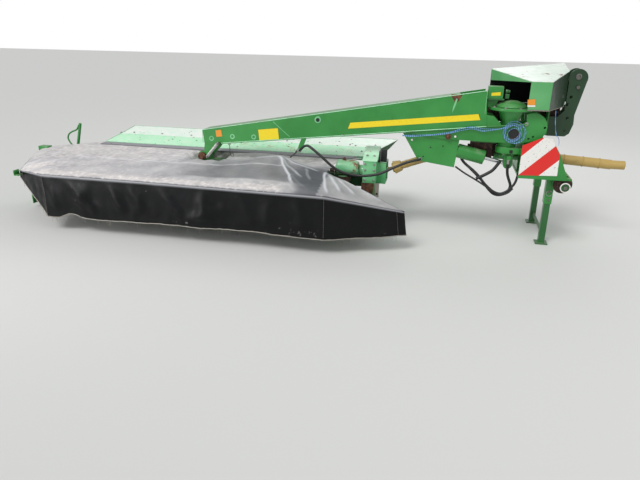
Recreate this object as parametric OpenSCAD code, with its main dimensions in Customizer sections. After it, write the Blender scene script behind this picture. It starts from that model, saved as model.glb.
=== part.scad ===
// Mounted disc mower with one centre-hung cutting bed, swung back behind its headstock.
// Design frame: X towards the tractor, Y to the tractor's left, Z up, ground at Z = 0.
// The king pin stands at X = 0; the hitch's middle plane is Y = 0.

/* [Headstock] */
// Distance of the king pin to the right of the hitch's middle plane
king_offset = 300; // [260:5:340]
// Height of the lower hitch pins
hitch_z = 530; // [510:5:550]
// Distance of the lower hitch pins in front of the king pin
hitch_x = 455; // [450:5:470]
// Radius of a lower hitch pin
hitch_pin_r = 14; // [11:0.5:18]
// Half the distance between the lower hitch cheeks' outer faces
hitch_half = 365; // [350:5:390]
// Length of a hitch pin outside its cheek
hitch_pin_l = 130; // [110:5:150]
// Radius of the top link holes
top_link_r = 12.8; // [11:0.1:16]
// Height of the mast's top pin
mast_top_z = 1335; // [1320:5:1350]
// Gap between the two mast plates
mast_gap = 100; // [80:5:120]
// Thickness of the mast plates
mast_t = 12; // [8:1:16]
// Outer size of the square cross beam
cross_s = 100; // [80:5:110]
// Free travel of the parking stand
stand_travel = 220; // [150:10:230]
// Side of a stand leg
leg_s = 50; // [40:2:56]
// Half the distance between the stand legs
leg_y = 290; // [280:5:295]

/* [Arm] */
// Distance from the lifting pivot to the bed's pivot
arm_len = 2640; // [2500:20:2700]
// Height of the lifting pivot
lift_z = 905; // [900:1:912]
// Height of the bed's pivot
bed_pivot_z = 584; // [575:1:595]
// Width of the arm over its side plates
arm_w = 180; // [170:2:184]
// Depth of the arm at its outer end
arm_d_out = 126; // [110:2:150]
// Depth of the arm at its inner end
arm_d_in = 272; // [240:2:280]
// Wall of the arm
arm_t = 8; // [6:1:12]
// Radius of the lifting pin
lift_pin_r = 25; // [20:1:30]
// Radius of the bed's pivot pin
bed_pin_r = 20; // [16:1:25]
// Radius of the lift cylinder's barrel
barrel_r = 40; // [34:1:41]
// Radius of the lift cylinder's rod
rod_r = 16; // [12:1:20]

/* [Bed] */
// Number of discs
disc_n = 8; // [6:1:8]
// Distance between disc centres
disc_pitch = 390; // [380:1:400]
// Longest radius of a disc
disc_r = 198; // [180:2:205]
// Reach of a knife's tip from the disc's centre
knife_reach = 255; // [240:1:258]
// Distance of the innermost disc behind the king pin
disc_x_in = 1310; // [1305:5:1330]
// Place of the disc row from the hitch's middle plane
disc_y = -400; // [-410:5:-390]
// Height of the canvas along its front edge
front_z = 488; // [470:2:500]
// Height of the canvas where it meets the metal cover
roof_z = 588; // [580:2:600]
// Place of the canvas's front edge
front_y = -1058; // [-1080:2:-1040]
// Place of the line where the canvas meets the metal cover
join_y = -60; // [-80:5:-40]
// Place of the rear edge of the metal cover
rear_y = 545; // [530:5:570]
// Height of the front hem
hem_z = 130; // [110:5:160]
// Thickness of the canvas with its folds
canvas_t = 10; // [6:1:14]
// Thickness of the metal cover
cover_t = 4; // [3:1:6]

/* [Hidden] */
$fn = 48;

// Clearances
gap = 0.3;
run = 0.05;
far = 4000;

// Arm plane and slope
arm_y = -king_offset;
lift_x = 35;
pivot_drop = 22;
pin_step = 1;
mast_x = 505;
arm_reach = sqrt(arm_len * arm_len + pivot_drop * pivot_drop);
reach_angle = asin((lift_z - bed_pivot_z) / arm_reach);
arm_slope = reach_angle - atan(pivot_drop / arm_len);
bed_x = lift_x - arm_reach * cos(reach_angle);
ledge_z = 80;
ledge_short = 200;
ledge_in_x = 94;
ledge_lip = 14;
ledge_t = 8;
side_in = arm_w / 2 - 12;
arm_end_x = -arm_len;
arm_out_x = arm_end_x + 36;
arm_in_x = -203;
step_z = 165;
fork_c = [136, 48];
fork_r = 108;
boss_r = 55;
boss_half = side_in - 0.5;

// King pin
stub_r = 35;
block_r = 70;
king_low_z0 = 750;
king_low_z1 = 800;
king_top_z0 = 1086;
king_top_z1 = 1106;
turret_z0 = king_low_z1 + gap;
turret_z1 = king_top_z0 - gap;

// Headstock
beam_z0 = hitch_z - cross_s / 2 - 5;
beam_z1 = beam_z0 + cross_s;
beam_x0 = hitch_x - cross_s / 2;
base_t = 15;
base_z1 = beam_z1 + base_t;
leg_x = beam_x0 - leg_s / 2 - 5;
collar_t = 6;
side_y = arm_y - 146;
side_t = 10;
clear_x = arm_w / 2 + 12;
col_x0 = 130;
col_x1 = 330;
col_y0 = 80;
col_y1 = 180;

// Lift cylinder
cyl_y = arm_y - 24;
flange_r = 168;
eye_x = 20;
eye_z = 660;
stem_z = 710;
port_y = cyl_y - 62;
port_z = 706;
lift_hose_r = 11;
anchor_x = -620;
anchor_z = 797;
cyl_angle = atan((anchor_z - eye_z) / (eye_x - anchor_x));
cyl_len = sqrt(pow(eye_x - anchor_x, 2) + pow(anchor_z - eye_z, 2));
barrel_l = 455;
eye_play = 1.2;

// Drive line
shaft_y = arm_y + 62;
shaft_r = 32;
bed_in_x = -950;
bed_in_z = 530;
cross_pin_r = 8;
cross_half = 30;
cross_reach = 50;
shaft_far_x = -345;
shaft_far_z = 757;
shaft_angle = atan((shaft_far_z - bed_in_z) / (shaft_far_x - bed_in_x));
pto_z = 668;
pto_end_x = 985;
spline_r = 17.5;

// Bed
bar_z0 = 38;
bar_z1 = 90;
disc_z = 100;
spindle_z0 = 60;
disc_x_out = disc_x_in + (disc_n - 1) * disc_pitch;
plate_in_x = -disc_x_in + knife_reach + 15;
plate_out_x = -disc_x_out - knife_reach - 15;
plate_t = 10;
beam_y = -250;
beam_s = 100;
beam_top = 480;
hinge_y = -520;
hinge_z = roof_z - (roof_z - front_z) * (join_y - hinge_y) / (join_y - front_y);
hinge_r = 10;
front_bar_r = 12;
hinge_gap = hinge_r + 12;
canvas_fall = (roof_z - front_z) / (join_y - front_y);
slot_rise = hinge_gap * canvas_fall;
rib_x = [-3600, -3050, -2350, -1750];
guard_x = [-3700, -2900, -2100, -1510];
spindle_r = 20;
canopy_in_x = -723;
canopy_out_x = -4380;
corner_in_x = -1336;
corner_out_x = -3738;
tip_in = [canopy_in_x, -802, 335];
tip_out = [-4100, -870, 452];

// The model's middle on the ground becomes the origin
mid_x = (canopy_out_x + pto_end_x) / 2;
mid_y = (front_y + rear_y) / 2;

module place() {
    translate([-mid_x, -mid_y, 0]) children();
}

// A plate whose outline lies in X and Z, from y0 to y0 + t
module plate_xz(y0, t) {
    translate([0, y0 + t, 0]) rotate([90, 0, 0]) linear_extrude(t) children();
}

// A profile in Y and Z, run along X from x0 for a length l
module run_x(x0, l) {
    translate([x0, 0, 0]) rotate([90, 0, 90]) linear_extrude(l) children();
}

module cyl_x(x0, x1, y, z, r) {
    translate([x0, y, z]) rotate([0, 90, 0]) cylinder(h = x1 - x0, r = r);
}

module cyl_y(y0, y1, x, z, r) {
    translate([x, y0, z]) rotate([-90, 0, 0]) cylinder(h = y1 - y0, r = r);
}

module box(x0, x1, y0, y1, z0, z1) {
    translate([x0, y0, z0]) cube([x1 - x0, y1 - y0, z1 - z0]);
}

// A square tube along Y
module tube_y(x0, z0, s, y0, y1, t) {
    difference() {
        box(x0, x0 + s, y0, y1, z0, z0 + s);
        box(x0 + t, x0 + s - t, y0 - 1, y1 + 1, z0 + t, z0 + s - t);
    }
}

// A round bar between two points
module bar(a, b, r) {
    d = b - a;
    l = norm(d);
    translate(a) rotate([0, acos(d[2] / l), atan2(d[1], d[0])]) cylinder(h = l, r = r);
}

// The arm's own frame: the origin at the lifting pivot, X along the arm
module arm_frame() {
    place() translate([lift_x, arm_y, lift_z]) rotate([0, -arm_slope, 0]) children();
}

// A hose swept along points, with a round section of 8 sides that is carried along without twist
function unit(v) = v / norm(v);
function across(dirs, i, u) = i >= len(dirs) ? [] :
    let (v = unit(u - (u * dirs[i]) * dirs[i])) concat([v], across(dirs, i + 1, v));
module hose(pts, r) {
    n = len(pts);
    sides = 8;
    dirs = [for (i = [0:n - 1]) unit(pts[min(i + 1, n - 1)] - pts[max(i - 1, 0)])];
    us = across(dirs, 0, abs(dirs[0][2]) > 0.9 ? [1, 0, 0] : [0, 0, 1]);
    ring = [for (i = [0:n - 1]) let (u = us[i], v = cross(dirs[i], u))
        for (k = [0:sides - 1]) pts[i] + r * (cos(360 * k / sides) * u + sin(360 * k / sides) * v)];
    walls = [for (i = [0:n - 2]) for (k = [0:sides - 1])
        let (a = i * sides + k, b = i * sides + (k + 1) % sides)
        for (f = [[a, a + sides, b + sides], [a, b + sides, b]]) f];
    near_cap = [for (k = [0:sides - 1]) k];
    far_cap = [for (k = [sides - 1:-1:0]) (n - 1) * sides + k];
    polyhedron(points = ring, faces = concat(walls, [near_cap, far_cap]));
}

// A smooth line through chosen points
function spline_at(p, i, t) = let (n = len(p), a = p[max(i - 1, 0)], b = p[i], c = p[min(i + 1, n - 1)],
    d = p[min(i + 2, n - 1)])
    0.5 * (2 * b + (c - a) * t + (2 * a - 5 * b + 4 * c - d) * t * t + (3 * b - a - 3 * c + d) * t * t * t);
function smooth(p, steps) = concat([for (i = [0:len(p) - 2]) for (s = [0:steps - 1]) spline_at(p, i, s / steps)],
    [p[len(p) - 1]]);

// A sheet with thickness: outer and inner rows of the same number of points
module sheet(outer, inner) {
    rows = len(outer);
    cols = len(outer[0]);
    m = rows * cols;
    pts = concat([for (r = outer) for (p = r) p], [for (r = inner) for (p = r) p]);
    function at(r, c) = r * cols + c;
    top = [for (r = [0:rows - 2]) for (c = [0:cols - 2]) for (f = [
        [at(r, c), at(r, c + 1), at(r + 1, c)],
        [at(r, c + 1), at(r + 1, c + 1), at(r + 1, c)]]) f];
    bottom = [for (f = top) [m + f[0], m + f[2], m + f[1]]];
    edge = concat([for (c = [0:cols - 1]) at(0, c)],
        [for (r = [1:rows - 1]) at(r, cols - 1)],
        [for (c = [cols - 2:-1:0]) at(rows - 1, c)],
        [for (r = [rows - 2:-1:1]) at(r, 0)]);
    k = len(edge);
    rim = [for (i = [0:k - 1]) for (f = [
        [edge[i], m + edge[i], edge[(i + 1) % k]],
        [edge[(i + 1) % k], m + edge[i], m + edge[(i + 1) % k]]]) f];
    polyhedron(points = pts, faces = concat(top, bottom, rim));
}

module headstock_frame() {
    color("seagreen") place() {
        difference() {
            union() {
                tube_y(beam_x0, beam_z0, cross_s, -hitch_half + 20, hitch_half - 20, 8);
                box(clear_x, beam_x0 + cross_s, side_y + side_t, col_y1 + 10, beam_z1, base_z1);
            }
            for (s = [-1, 1])
                box(leg_x - leg_s / 2 - 4, leg_x + leg_s / 2 + 4, s * leg_y - leg_s / 2 - 4,
                    s * leg_y + leg_s / 2 + 4, beam_z1 - 1, base_z1 + 1);
        }
        for (s = [-1, 1]) {
            hitch_cheek(s);
            stand_collar(s);
        }
        column();
        side_plate();
    }
}

module king_arms() {
    color("seagreen") place() difference() {
        union() {
            king_low_arm();
            king_top_arm();
        }
        box(col_x0 - gap, col_x1 + gap, col_y0 - gap, col_y1 + gap, king_low_z0 - 1, king_top_z0);
    }
}

module hitch_cheek(s) {
    y0 = s > 0 ? hitch_half - 20 : -hitch_half;
    difference() {
        cyl_y(y0, y0 + 20, hitch_x, hitch_z, 75);
        cyl_y(y0 - 1, y0 + 21, hitch_x, hitch_z, hitch_pin_r - pin_step);
    }
}

module stand_collar(s) {
    a = leg_s / 2 + 0.5;
    b = a + collar_t;
    difference() {
        box(leg_x - b, beam_x0, s * leg_y - b, s * leg_y + b, 350, beam_z1);
        box(leg_x - a, leg_x + a, s * leg_y - a, s * leg_y + a, 349, beam_z1 + 1);
    }
}

module column() {
    difference() {
        box(col_x0, col_x1, col_y0, col_y1, base_z1, king_top_z0);
        box(col_x0 + 8, col_x1 - 8, col_y0 + 8, col_y1 + 1, base_z1 + 8, king_top_z0 - 8);
    }
    box(col_x1 - 12, col_x1, -mast_gap / 2 - mast_t, col_y0, 862, king_top_z0);
}

module king_low_arm() {
    difference() {
        translate([0, 0, king_low_z0]) linear_extrude(king_low_z1 - king_low_z0) difference() {
            union() {
                translate([0, arm_y]) circle(r = 85);
                polygon([[0, arm_y - 85], [0, arm_y + 85], [col_x0, col_y0], [col_x1, col_y0],
                    [col_x1, side_y + side_t], [clear_x, side_y + side_t], [clear_x, arm_y - 85]]);
            }
            translate([col_x0 + 20, -170]) square([col_x1 - col_x0 - 40, 190]);
        }
        translate([0, arm_y, king_low_z0 - 1]) cylinder(h = 100, r = stub_r + run);
    }
}

module king_top_arm() {
    difference() {
        translate([0, 0, king_top_z0]) linear_extrude(king_top_z1 - king_top_z0) union() {
            translate([0, arm_y]) circle(r = flange_r);
            polygon([[-60, arm_y + 160], [col_x0 - 60, col_y1], [col_x1 + 60, col_y1], [col_x1 + 60, -80],
                [160, arm_y - 60], [0, arm_y]]);
        }
        translate([0, arm_y, king_top_z0 - 1]) cylinder(h = 40, r = stub_r + run);
    }
}

module side_plate() {
    plate_xz(side_y, side_t) polygon([[clear_x, beam_z1], [465, beam_z1], [465, base_z1 + 10], [392, 772],
        [345, 846], [312, 896], [240, 896], [clear_x, 830]]);
}

module mast() {
    color("seagreen") place()
        for (s = [-1, 1]) plate_xz(s > 0 ? mast_gap / 2 : -mast_gap / 2 - mast_t, mast_t) difference() {
            union() {
                translate([mast_x, mast_top_z - 12]) circle(r = 72);
                polygon([[col_x1, 860], [470, 860], [502, 885], [524, 960], [520, 1036], [576, mast_top_z - 20],
                    [440, mast_top_z - 40], [440, king_top_z0 - 20], [392, king_top_z0 - 70], [col_x1, king_top_z0 - 70]]);
            }
            for (h = [[mast_x, mast_top_z], [mast_x + 4, mast_top_z - 80], [473, 1176], [452, 1116], [469, 1009], [463, 904]])
                translate(h) circle(r = top_link_r);
        }
}

module hitch_pins() {
    color("dimgray") place() {
        for (s = [-1, 1]) {
            cyl_y(s > 0 ? hitch_half : -hitch_half - hitch_pin_l, s > 0 ? hitch_half + hitch_pin_l : -hitch_half,
                hitch_x, hitch_z, hitch_pin_r);
            cyl_y(s > 0 ? hitch_half - 30 : -hitch_half, s > 0 ? hitch_half : -hitch_half + 30, hitch_x, hitch_z,
                hitch_pin_r - pin_step);
        }
        cyl_y(-mast_gap / 2 - mast_t - 25, mast_gap / 2 + mast_t + 25, mast_x + 4, mast_top_z - 80, top_link_r);
    }
}

// The hood's roof rises from the near side to the far side
hood_plan = [[-165, 80], [102, -450], [250, -450], [430, -50], [430, 80]];
hood_t = 4;
hood_z0 = king_top_z1;
roof_near_z = 1312;
roof_far_z = 1402;
module under_roof(drop) {
    slope = atan((roof_far_z - roof_near_z) / (80 + 450));
    translate([0, -450, roof_near_z - drop]) rotate([slope, 0, 0]) translate([-1000, -1000, -1000])
        cube([2000, 2000, 1000]);
}

module hood() {
    color("whitesmoke") place() difference() {
        intersection() {
            translate([0, 0, hood_z0]) linear_extrude(400) polygon(hood_plan);
            under_roof(0);
        }
        intersection() {
            translate([0, 0, hood_z0 - 1]) linear_extrude(400) polygon([[-600, 80 - hood_t], [-600, -900],
                [102 + hood_t, -900], [102 + hood_t, -450 + hood_t], [250 - hood_t, -450 + hood_t],
                [430 - hood_t, -50], [430 - hood_t, 80 - hood_t]]);
            under_roof(hood_t);
        }
    }
}

module warning_panel() {
    color("crimson") place() plate_xz(side_y - 4, 4) polygon([[clear_x, 600], [388, 612], [385, 772], [343, 846],
        [312, 900], [238, 900], [clear_x, 834]]);
}

module input_gearbox() {
    color("seagreen") place() {
        box(110, 290, -230, 70, base_z1, 744);
        cyl_x(290, 312, 0, pto_z, 60);
        cyl_x(-82, 110, arm_y + 122, 700, 34);
    }
}

module input_shaft() {
    color("tan") place() {
        cyl_x(312, 350, 0, pto_z, 48);
        bar([350, 0, pto_z], [880, 0, pto_z - 30], 40);
        difference() {
            cyl_x(880, pto_end_x, 0, pto_z - 30, 36);
            cyl_x(910, pto_end_x + 1, 0, pto_z - 30, spline_r);
        }
    }
}

module parking_stand() {
    color("seagreen") place() {
        for (s = [-1, 1]) {
            box(leg_x - leg_s / 2, leg_x + leg_s / 2, s * leg_y - leg_s / 2, s * leg_y + leg_s / 2, 10, 545);
            box(leg_x - 50, leg_x + 50, s * leg_y - 50, s * leg_y + 50, 0, 10);
        }
        box(leg_x - 6, leg_x + 6, -leg_y, leg_y, 75, 110);
    }
}

module turret() {
    color("seagreen") place() difference() {
        union() {
            translate([0, arm_y, turret_z0]) cylinder(h = turret_z1 - turret_z0, r = block_r);
            translate([0, arm_y, 1000]) cylinder(h = turret_z1 - 1000, r1 = block_r, r2 = 100);
            translate([0, arm_y, king_low_z0 - 6]) cylinder(h = king_top_z1 + 10 - king_low_z0, r = stub_r);
            cyl_y(arm_y - boss_half, arm_y + boss_half, lift_x, lift_z, boss_r);
            box(-280, 0, arm_y + 30, arm_y + 140, turret_z0 + 10, turret_z0 + 24);
        }
        cyl_y(arm_y - 200, arm_y + 200, lift_x, lift_z, lift_pin_r + run);
    }
}

module turret_cap() {
    color("forestgreen") place() translate([0, arm_y, king_top_z1 + gap]) difference() {
        rotate_extrude() polygon([[0, 0], [120, 0], [120, 8], [95, 30], [40, 50], [0, 52]]);
        translate([0, 0, -1]) cylinder(h = 12, r = stub_r + run);
    }
}

module rod_clevis() {
    color("seagreen") place() {
        translate([0, arm_y, stem_z]) cylinder(h = king_low_z0 - 6 - stem_z, r = 45);
        box(eye_x - 16, eye_x + 16, port_y - 14, cyl_y - 34 - gap, port_z, port_z + 28);
        for (y = [cyl_y - 34, cyl_y + 20]) difference() {
            union() {
                box(eye_x - 35, eye_x + 35, y, y + 14, eye_z, king_low_z0 - 6);
                cyl_y(y, y + 14, eye_x, eye_z, 35);
            }
            cyl_y(y - 1, y + 15, eye_x, eye_z, rod_r);
        }
        cyl_y(cyl_y - 42, cyl_y + 42, eye_x, eye_z, rod_r);
    }
}

module swivel_gearbox() {
    color("saddlebrown") place() {
        box(-280, -105, arm_y + 24, arm_y + 140, 690, turret_z0 + 10);
        cyl_x(-300, -280, shaft_y, shaft_far_z - 6, 40);
    }
}

module arm_outline(inset) {
    polygon([[arm_out_x + inset, ledge_z + inset], [arm_out_x + inset, ledge_z + arm_d_out - inset],
        [arm_in_x, ledge_z + arm_d_in - inset], [arm_in_x, ledge_z + inset]]);
}

// One side of the arm's low inner end, which passes under the king pin's top flange
module arm_inner_end(s) {
    plate_xz(s > 0 ? arm_w / 2 - arm_t : -arm_w / 2, arm_t)
        polygon([[arm_in_x + gap, ledge_z], [arm_in_x + gap, step_z], [-150, step_z - 11], [-98, 90],
            [-98, ledge_z]]);
    box(arm_in_x + gap, ledge_in_x, s > 0 ? side_in : -arm_w / 2 - ledge_lip,
        s > 0 ? arm_w / 2 + ledge_lip : -side_in, ledge_z - ledge_t, ledge_z);
}

module arm_beam() {
    color("green") arm_frame() {
        difference() {
            plate_xz(-arm_w / 2, arm_w) arm_outline(0);
            plate_xz(-arm_w / 2 + arm_t, arm_w - 2 * arm_t) arm_outline(arm_t);
            box(-400, far, -arm_w / 2 + arm_t, arm_w / 2 - arm_t, 0, 700);
        }
        box(ledge_short - arm_len, arm_in_x, -arm_w / 2 - ledge_lip, arm_w / 2 + ledge_lip, ledge_z - ledge_t,
            ledge_z);
        for (s = [-1, 1]) arm_inner_end(s);
    }
}

// Cheek plates in pairs: the fork round the swivel block and the lugs at the bed's pivot
module arm_cheeks() {
    color("green") arm_frame() for (y = [-arm_w / 2, arm_w / 2 - 12]) plate_xz(y, 12) {
        fork_cheek();
        end_cheek();
    }
}

module fork_cheek() {
    difference() {
        union() {
            polygon([[-850, ledge_z - 8], [-543, 0], [-195, -45], [40, -72], [fork_c[0], fork_c[1] - fork_r],
                [fork_c[0], ledge_z - 8]]);
            translate(fork_c) circle(r = fork_r);
        }
        circle(r = lift_pin_r);
        translate([94, ledge_z - 8]) mirror([1, 0]) square([300, 300]);
        for (h = [[226, 38], [141, -26], [108, -40]]) translate(h) circle(r = 9);
    }
}

module end_cheek() {
    difference() {
        union() {
            polygon([[arm_out_x, ledge_z], [arm_out_x - 18, 4], [arm_end_x - 42, -pivot_drop],
                [arm_end_x + 42, -pivot_drop - 10], [arm_end_x + 100, 10], [arm_end_x + 160, ledge_z - 8],
                [arm_end_x + 160, ledge_z]]);
            translate([arm_end_x, -pivot_drop]) circle(r = 42);
        }
        translate([arm_end_x, -pivot_drop]) circle(r = bed_pin_r);
    }
}

module arm_skirt() {
    color("green") arm_frame() {
        difference() {
            plate_xz(-side_in, 8) polygon([[-860, 66], [-748, -168], [-461, -240], [-406, 16], [-406, 40], [-700, 60]]);
            anchor() circle(r = rod_r);
        }
        difference() {
            anchor_plate(-3, 8);
            anchor() circle(r = rod_r);
        }
        anchor_pin();
    }
}

// The lift cylinder's anchor in the arm's frame
function to_arm(x, z) = [(x - lift_x) * cos(arm_slope) + (z - lift_z) * sin(arm_slope),
    -(x - lift_x) * sin(arm_slope) + (z - lift_z) * cos(arm_slope)];
anchor_at = to_arm(anchor_x, anchor_z);
module anchor() {
    translate([0, 50, 0]) rotate([90, 0, 0]) linear_extrude(200) translate(anchor_at) children();
}
module anchor_plate(y, t) {
    plate_xz(y, t) union() {
        translate(anchor_at) circle(r = 32);
        polygon([[anchor_at[0] - 32, anchor_at[1]], [anchor_at[0] + 32, anchor_at[1]],
            [anchor_at[0] + 50, ledge_z - 8], [anchor_at[0] - 50, ledge_z - 8]]);
    }
}
module anchor_pin() {
    translate([anchor_at[0], -side_in, anchor_at[1]]) rotate([-90, 0, 0]) cylinder(h = side_in + 12, r = rod_r);
}

module arm_pins() {
    color("saddlebrown") arm_frame() {
        cyl_y(-arm_w / 2 - 4, arm_w / 2 + 4, 0, 0, lift_pin_r);
        for (y = [-arm_w / 2 - 10, arm_w / 2]) cyl_y(y, y + 10, 0, 0, 38);
        cyl_y(-arm_w / 2, arm_w / 2, arm_end_x, -pivot_drop, bed_pin_r);
        for (y = [-arm_w / 2 - 26, arm_w / 2]) cyl_y(y, y + 26, arm_end_x, -pivot_drop, 34);
    }
}

module hose_bracket() {
    color("green") arm_frame() plate_xz(-arm_w / 2 - 14, 10) polygon([[-1670, ledge_z - 8], [-1715, ledge_z - 8],
        [-1760, -20], [-1752, -38], [-1728, -38]]);
}

// Hoses: each has a straight end at its first and last point, and a curve through the chosen points between
arm_hose_from = [-1688, arm_y - arm_w / 2 - 14, 686];
arm_hose_to = [-672, arm_y - side_in, 668];
arm_hose_pts = [[-1688, -430, 686], [-1664, -452, 708], [-1633, -464, 734], [-1597, -476, 741], [-1547, -492, 714],
    [-1466, -515, 659], [-1390, -520, 598], [-1311, -518, 552], [-1196, -508, 525], [-1098, -502, 526],
    [-993, -494, 547], [-915, -480, 583], [-838, -463, 620], [-775, -444, 645], [-715, -430, 663], [-682, -415, 668],
    [-672, -396, 668]];
module arm_hose() {
    color("black") place() hose(concat([arm_hose_from], smooth(arm_hose_pts, 3), [arm_hose_to]), 11);
}

lift_hose_from = [eye_x, port_y, port_z - gap];
lift_hose_to = [-345, cyl_y, 691.6];
lift_hose_pts = [[eye_x, port_y, port_z - 12], [20, -385, 650], [22, -381, 615], [29, -377, 580], [42, -378, 545],
    [55, -380, 515], [60, -382, 490], [52, -384, 457], [31, -385, 431], [0, -386, 416], [-35, -386, 412],
    [-66, -384, 421], [-92, -380, 441], [-128, -372, 478], [-165, -362, 520], [-200, -352, 558], [-240, -341, 592],
    [-283, -331, 622], [-318, -325, 650], [-340, cyl_y, 676]];
module lift_hose() {
    color("black") place() hose(concat([lift_hose_from], smooth(lift_hose_pts, 2), [lift_hose_to]), lift_hose_r);
}

module lift_barrel() {
    color("seagreen") place() translate([anchor_x, cyl_y, anchor_z]) rotate([0, cyl_angle, 0]) difference() {
        union() {
            difference() {
                union() {
                    cyl_y(-15, 15, 0, 0, 30);
                    box(0, 55, -15, 15, -30, 30);
                }
                cyl_y(-16, 16, 0, 0, rod_r + run);
            }
            cyl_x(50, barrel_l, 0, 0, barrel_r);
        }
        cyl_y(-60, 60, 0, 0, rod_r + run);
        cyl_x(120, barrel_l + 1, 0, 0, rod_r + run);
    }
}

module lift_rod() {
    color("silver") place() translate([anchor_x, cyl_y, anchor_z]) rotate([0, cyl_angle, 0]) difference() {
        union() {
            cyl_x(200, cyl_len - 20, 0, 0, rod_r);
            cyl_y(-16, 16, cyl_len, 0, 30);
        }
        cyl_y(-20, 20, cyl_len, 0, rod_r + eye_play);
    }
}

module bed_beam() {
    color("seagreen") place() difference() {
        box(plate_out_x, -1150, beam_y - beam_s / 2, beam_y + beam_s / 2, beam_top - beam_s, beam_top);
        box(plate_out_x - 1, -1140, beam_y - beam_s / 2 + 6, beam_y + beam_s / 2 - 6, beam_top - beam_s + 6,
            beam_top - 6);
    }
}

foot_z0 = 522;
foot_z1 = 534;
module bed_foot() {
    color("green") place() difference() {
        union() {
            box(bed_x - 95, bed_x + 170, arm_y - 95, arm_y + 100, foot_z0, foot_z1);
            box(bed_x - 60, bed_x + 60, arm_y - 70, arm_y + 95, beam_top, foot_z0 + 1);
            cyl_y(arm_y - side_in + 1, arm_y + side_in - 1, bed_x, bed_pivot_z, 34);
            box(bed_x - 34, bed_x + 34, arm_y - side_in + 1, arm_y + side_in - 1, foot_z0, bed_pivot_z);
        }
        cyl_y(arm_y - 200, arm_y + 200, bed_x, bed_pivot_z, bed_pin_r + run);
    }
}

module cutter_bar() {
    color("dimgray") place() difference() {
        run_x(plate_out_x, plate_in_x - plate_out_x) polygon([[disc_y - 90, bar_z0 + 8], [disc_y - 60, bar_z0],
            [disc_y + 80, bar_z0], [disc_y + 95, bar_z0 + 12], [disc_y + 95, bar_z1 - 10], [disc_y + 80, bar_z1],
            [disc_y - 50, bar_z1], [disc_y - 90, bar_z0 + 26]]);
        for (i = [0:disc_n - 1]) translate([-disc_x_in - i * disc_pitch, disc_y, spindle_z0 - 1])
            cylinder(h = 100, r = spindle_r + run);
    }
}

module skid_shoes() {
    color("gray") place() for (i = [0:disc_n - 1]) run_x(-disc_x_in - i * disc_pitch - 130, 260)
        polygon([[disc_y - 190, 46], [disc_y - 150, 12], [disc_y - 110, 0], [disc_y + 60, 0], [disc_y + 110, 12],
            [disc_y + 110, 20], [disc_y + 70, bar_z0], [disc_y - 58, bar_z0], [disc_y - 100, 30],
            [disc_y - 180, 58]]);
}

module end_plates() {
    color("seagreen") place() {
        plate_side(plate_in_x, 450, -440);
        plate_side(plate_out_x - plate_t, beam_top, -330);
    }
}
module plate_side(x0, top, y_top) {
    run_x(x0, plate_t) polygon([[disc_y - 110, bar_z0], [disc_y - 110, 110], [y_top, top], [beam_y + 50, top],
        [beam_y + 50, bar_z0]]);
}

module bed_gearbox() {
    color("forestgreen") place() {
        box(-1135, -1025, -440, -200, 450, 634);
        cyl_x(-1372, -1135, disc_y + 45, 535, 48);
        translate([-disc_x_in, disc_y, 320]) cylinder(h = 175, r = 40);
        box(-disc_x_in - 50, -disc_x_in + 130, -345, beam_y + 50, beam_top, 495);
        cyl_x(-1025, bed_in_x - cross_reach, shaft_y, bed_in_z, 34);
        for (y = [shaft_y - cross_half, shaft_y + cross_half - 10]) plate_xz(y, 10) translate([bed_in_x, bed_in_z])
            difference() {
                union() {
                    circle(r = 20);
                    translate([-cross_reach - 1, -20]) square([cross_reach + 1, 40]);
                }
                circle(r = cross_pin_r + run);
            }
    }
}

module gearbox_cover() {
    color("palegreen") place() run_x(-1143, 126) polygon([[-446, 634], [-446, 640], [-206, 722], [-196, 715],
        [-196, 634]]);
}

module drive_shaft() {
    color("tan") place() {
        a = [bed_in_x, shaft_y, bed_in_z];
        b = [shaft_far_x, shaft_y, shaft_far_z];
        d = unit(b - a);
        cyl_y(shaft_y - cross_half + 10.5, shaft_y + cross_half - 10.5, bed_in_x, bed_in_z, 19);
        cyl_y(shaft_y - cross_half - 3, shaft_y + cross_half + 3, bed_in_x, bed_in_z, cross_pin_r);
        bar(a, a + 60 * d, 14);
        bar(a + cross_reach * d, a + (cross_reach + 30) * d, shaft_r + 8);
        bar(a + (cross_reach + 28) * d, b - 43 * d, shaft_r);
        bar(b - 45 * d, b, shaft_r - 3);
    }
}

// Ribs under the canvas and the metal cover, with the eyes of the guard's hinge
function canvas_under(y) = roof_z - canvas_t - gap - canvas_fall * (join_y - y);
module canopy_ribs() {
    top = concat([[hinge_y + hinge_gap + 6, canvas_under(hinge_y + hinge_gap + 6)], [join_y + 2, canvas_under(join_y + 2)]],
        [for (i = [0:3]) cover_line[i] + [i == 3 ? -8 : i == 0 ? 10 : 0, -cover_t - gap - (i == 3 ? 2 : 0)]]);
    low = [for (i = [len(top) - 1:-1:0]) top[i] - [0, 32]];
    color("seagreen") place() for (x = rib_x) run_x(x, 10) difference() {
        union() {
            polygon(concat(top, low));
            polygon([[beam_y - 50, beam_top], [beam_y + 50, beam_top], [beam_y + 60, canvas_under(beam_y + 60) - 10],
                [beam_y - 60, canvas_under(beam_y - 60) - 10]]);
            translate([hinge_y, hinge_z - hinge_r]) circle(r = hinge_r + 6);
            polygon([[hinge_y, hinge_z - 2 * hinge_r - 6], [hinge_y + hinge_gap + 10, hinge_z - 48],
                [hinge_y + hinge_gap + 10, hinge_z - 14], [hinge_y, hinge_z - 10]]);
        }
        translate([hinge_y, hinge_z - hinge_r]) circle(r = hinge_r + run);
    }
}

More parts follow.
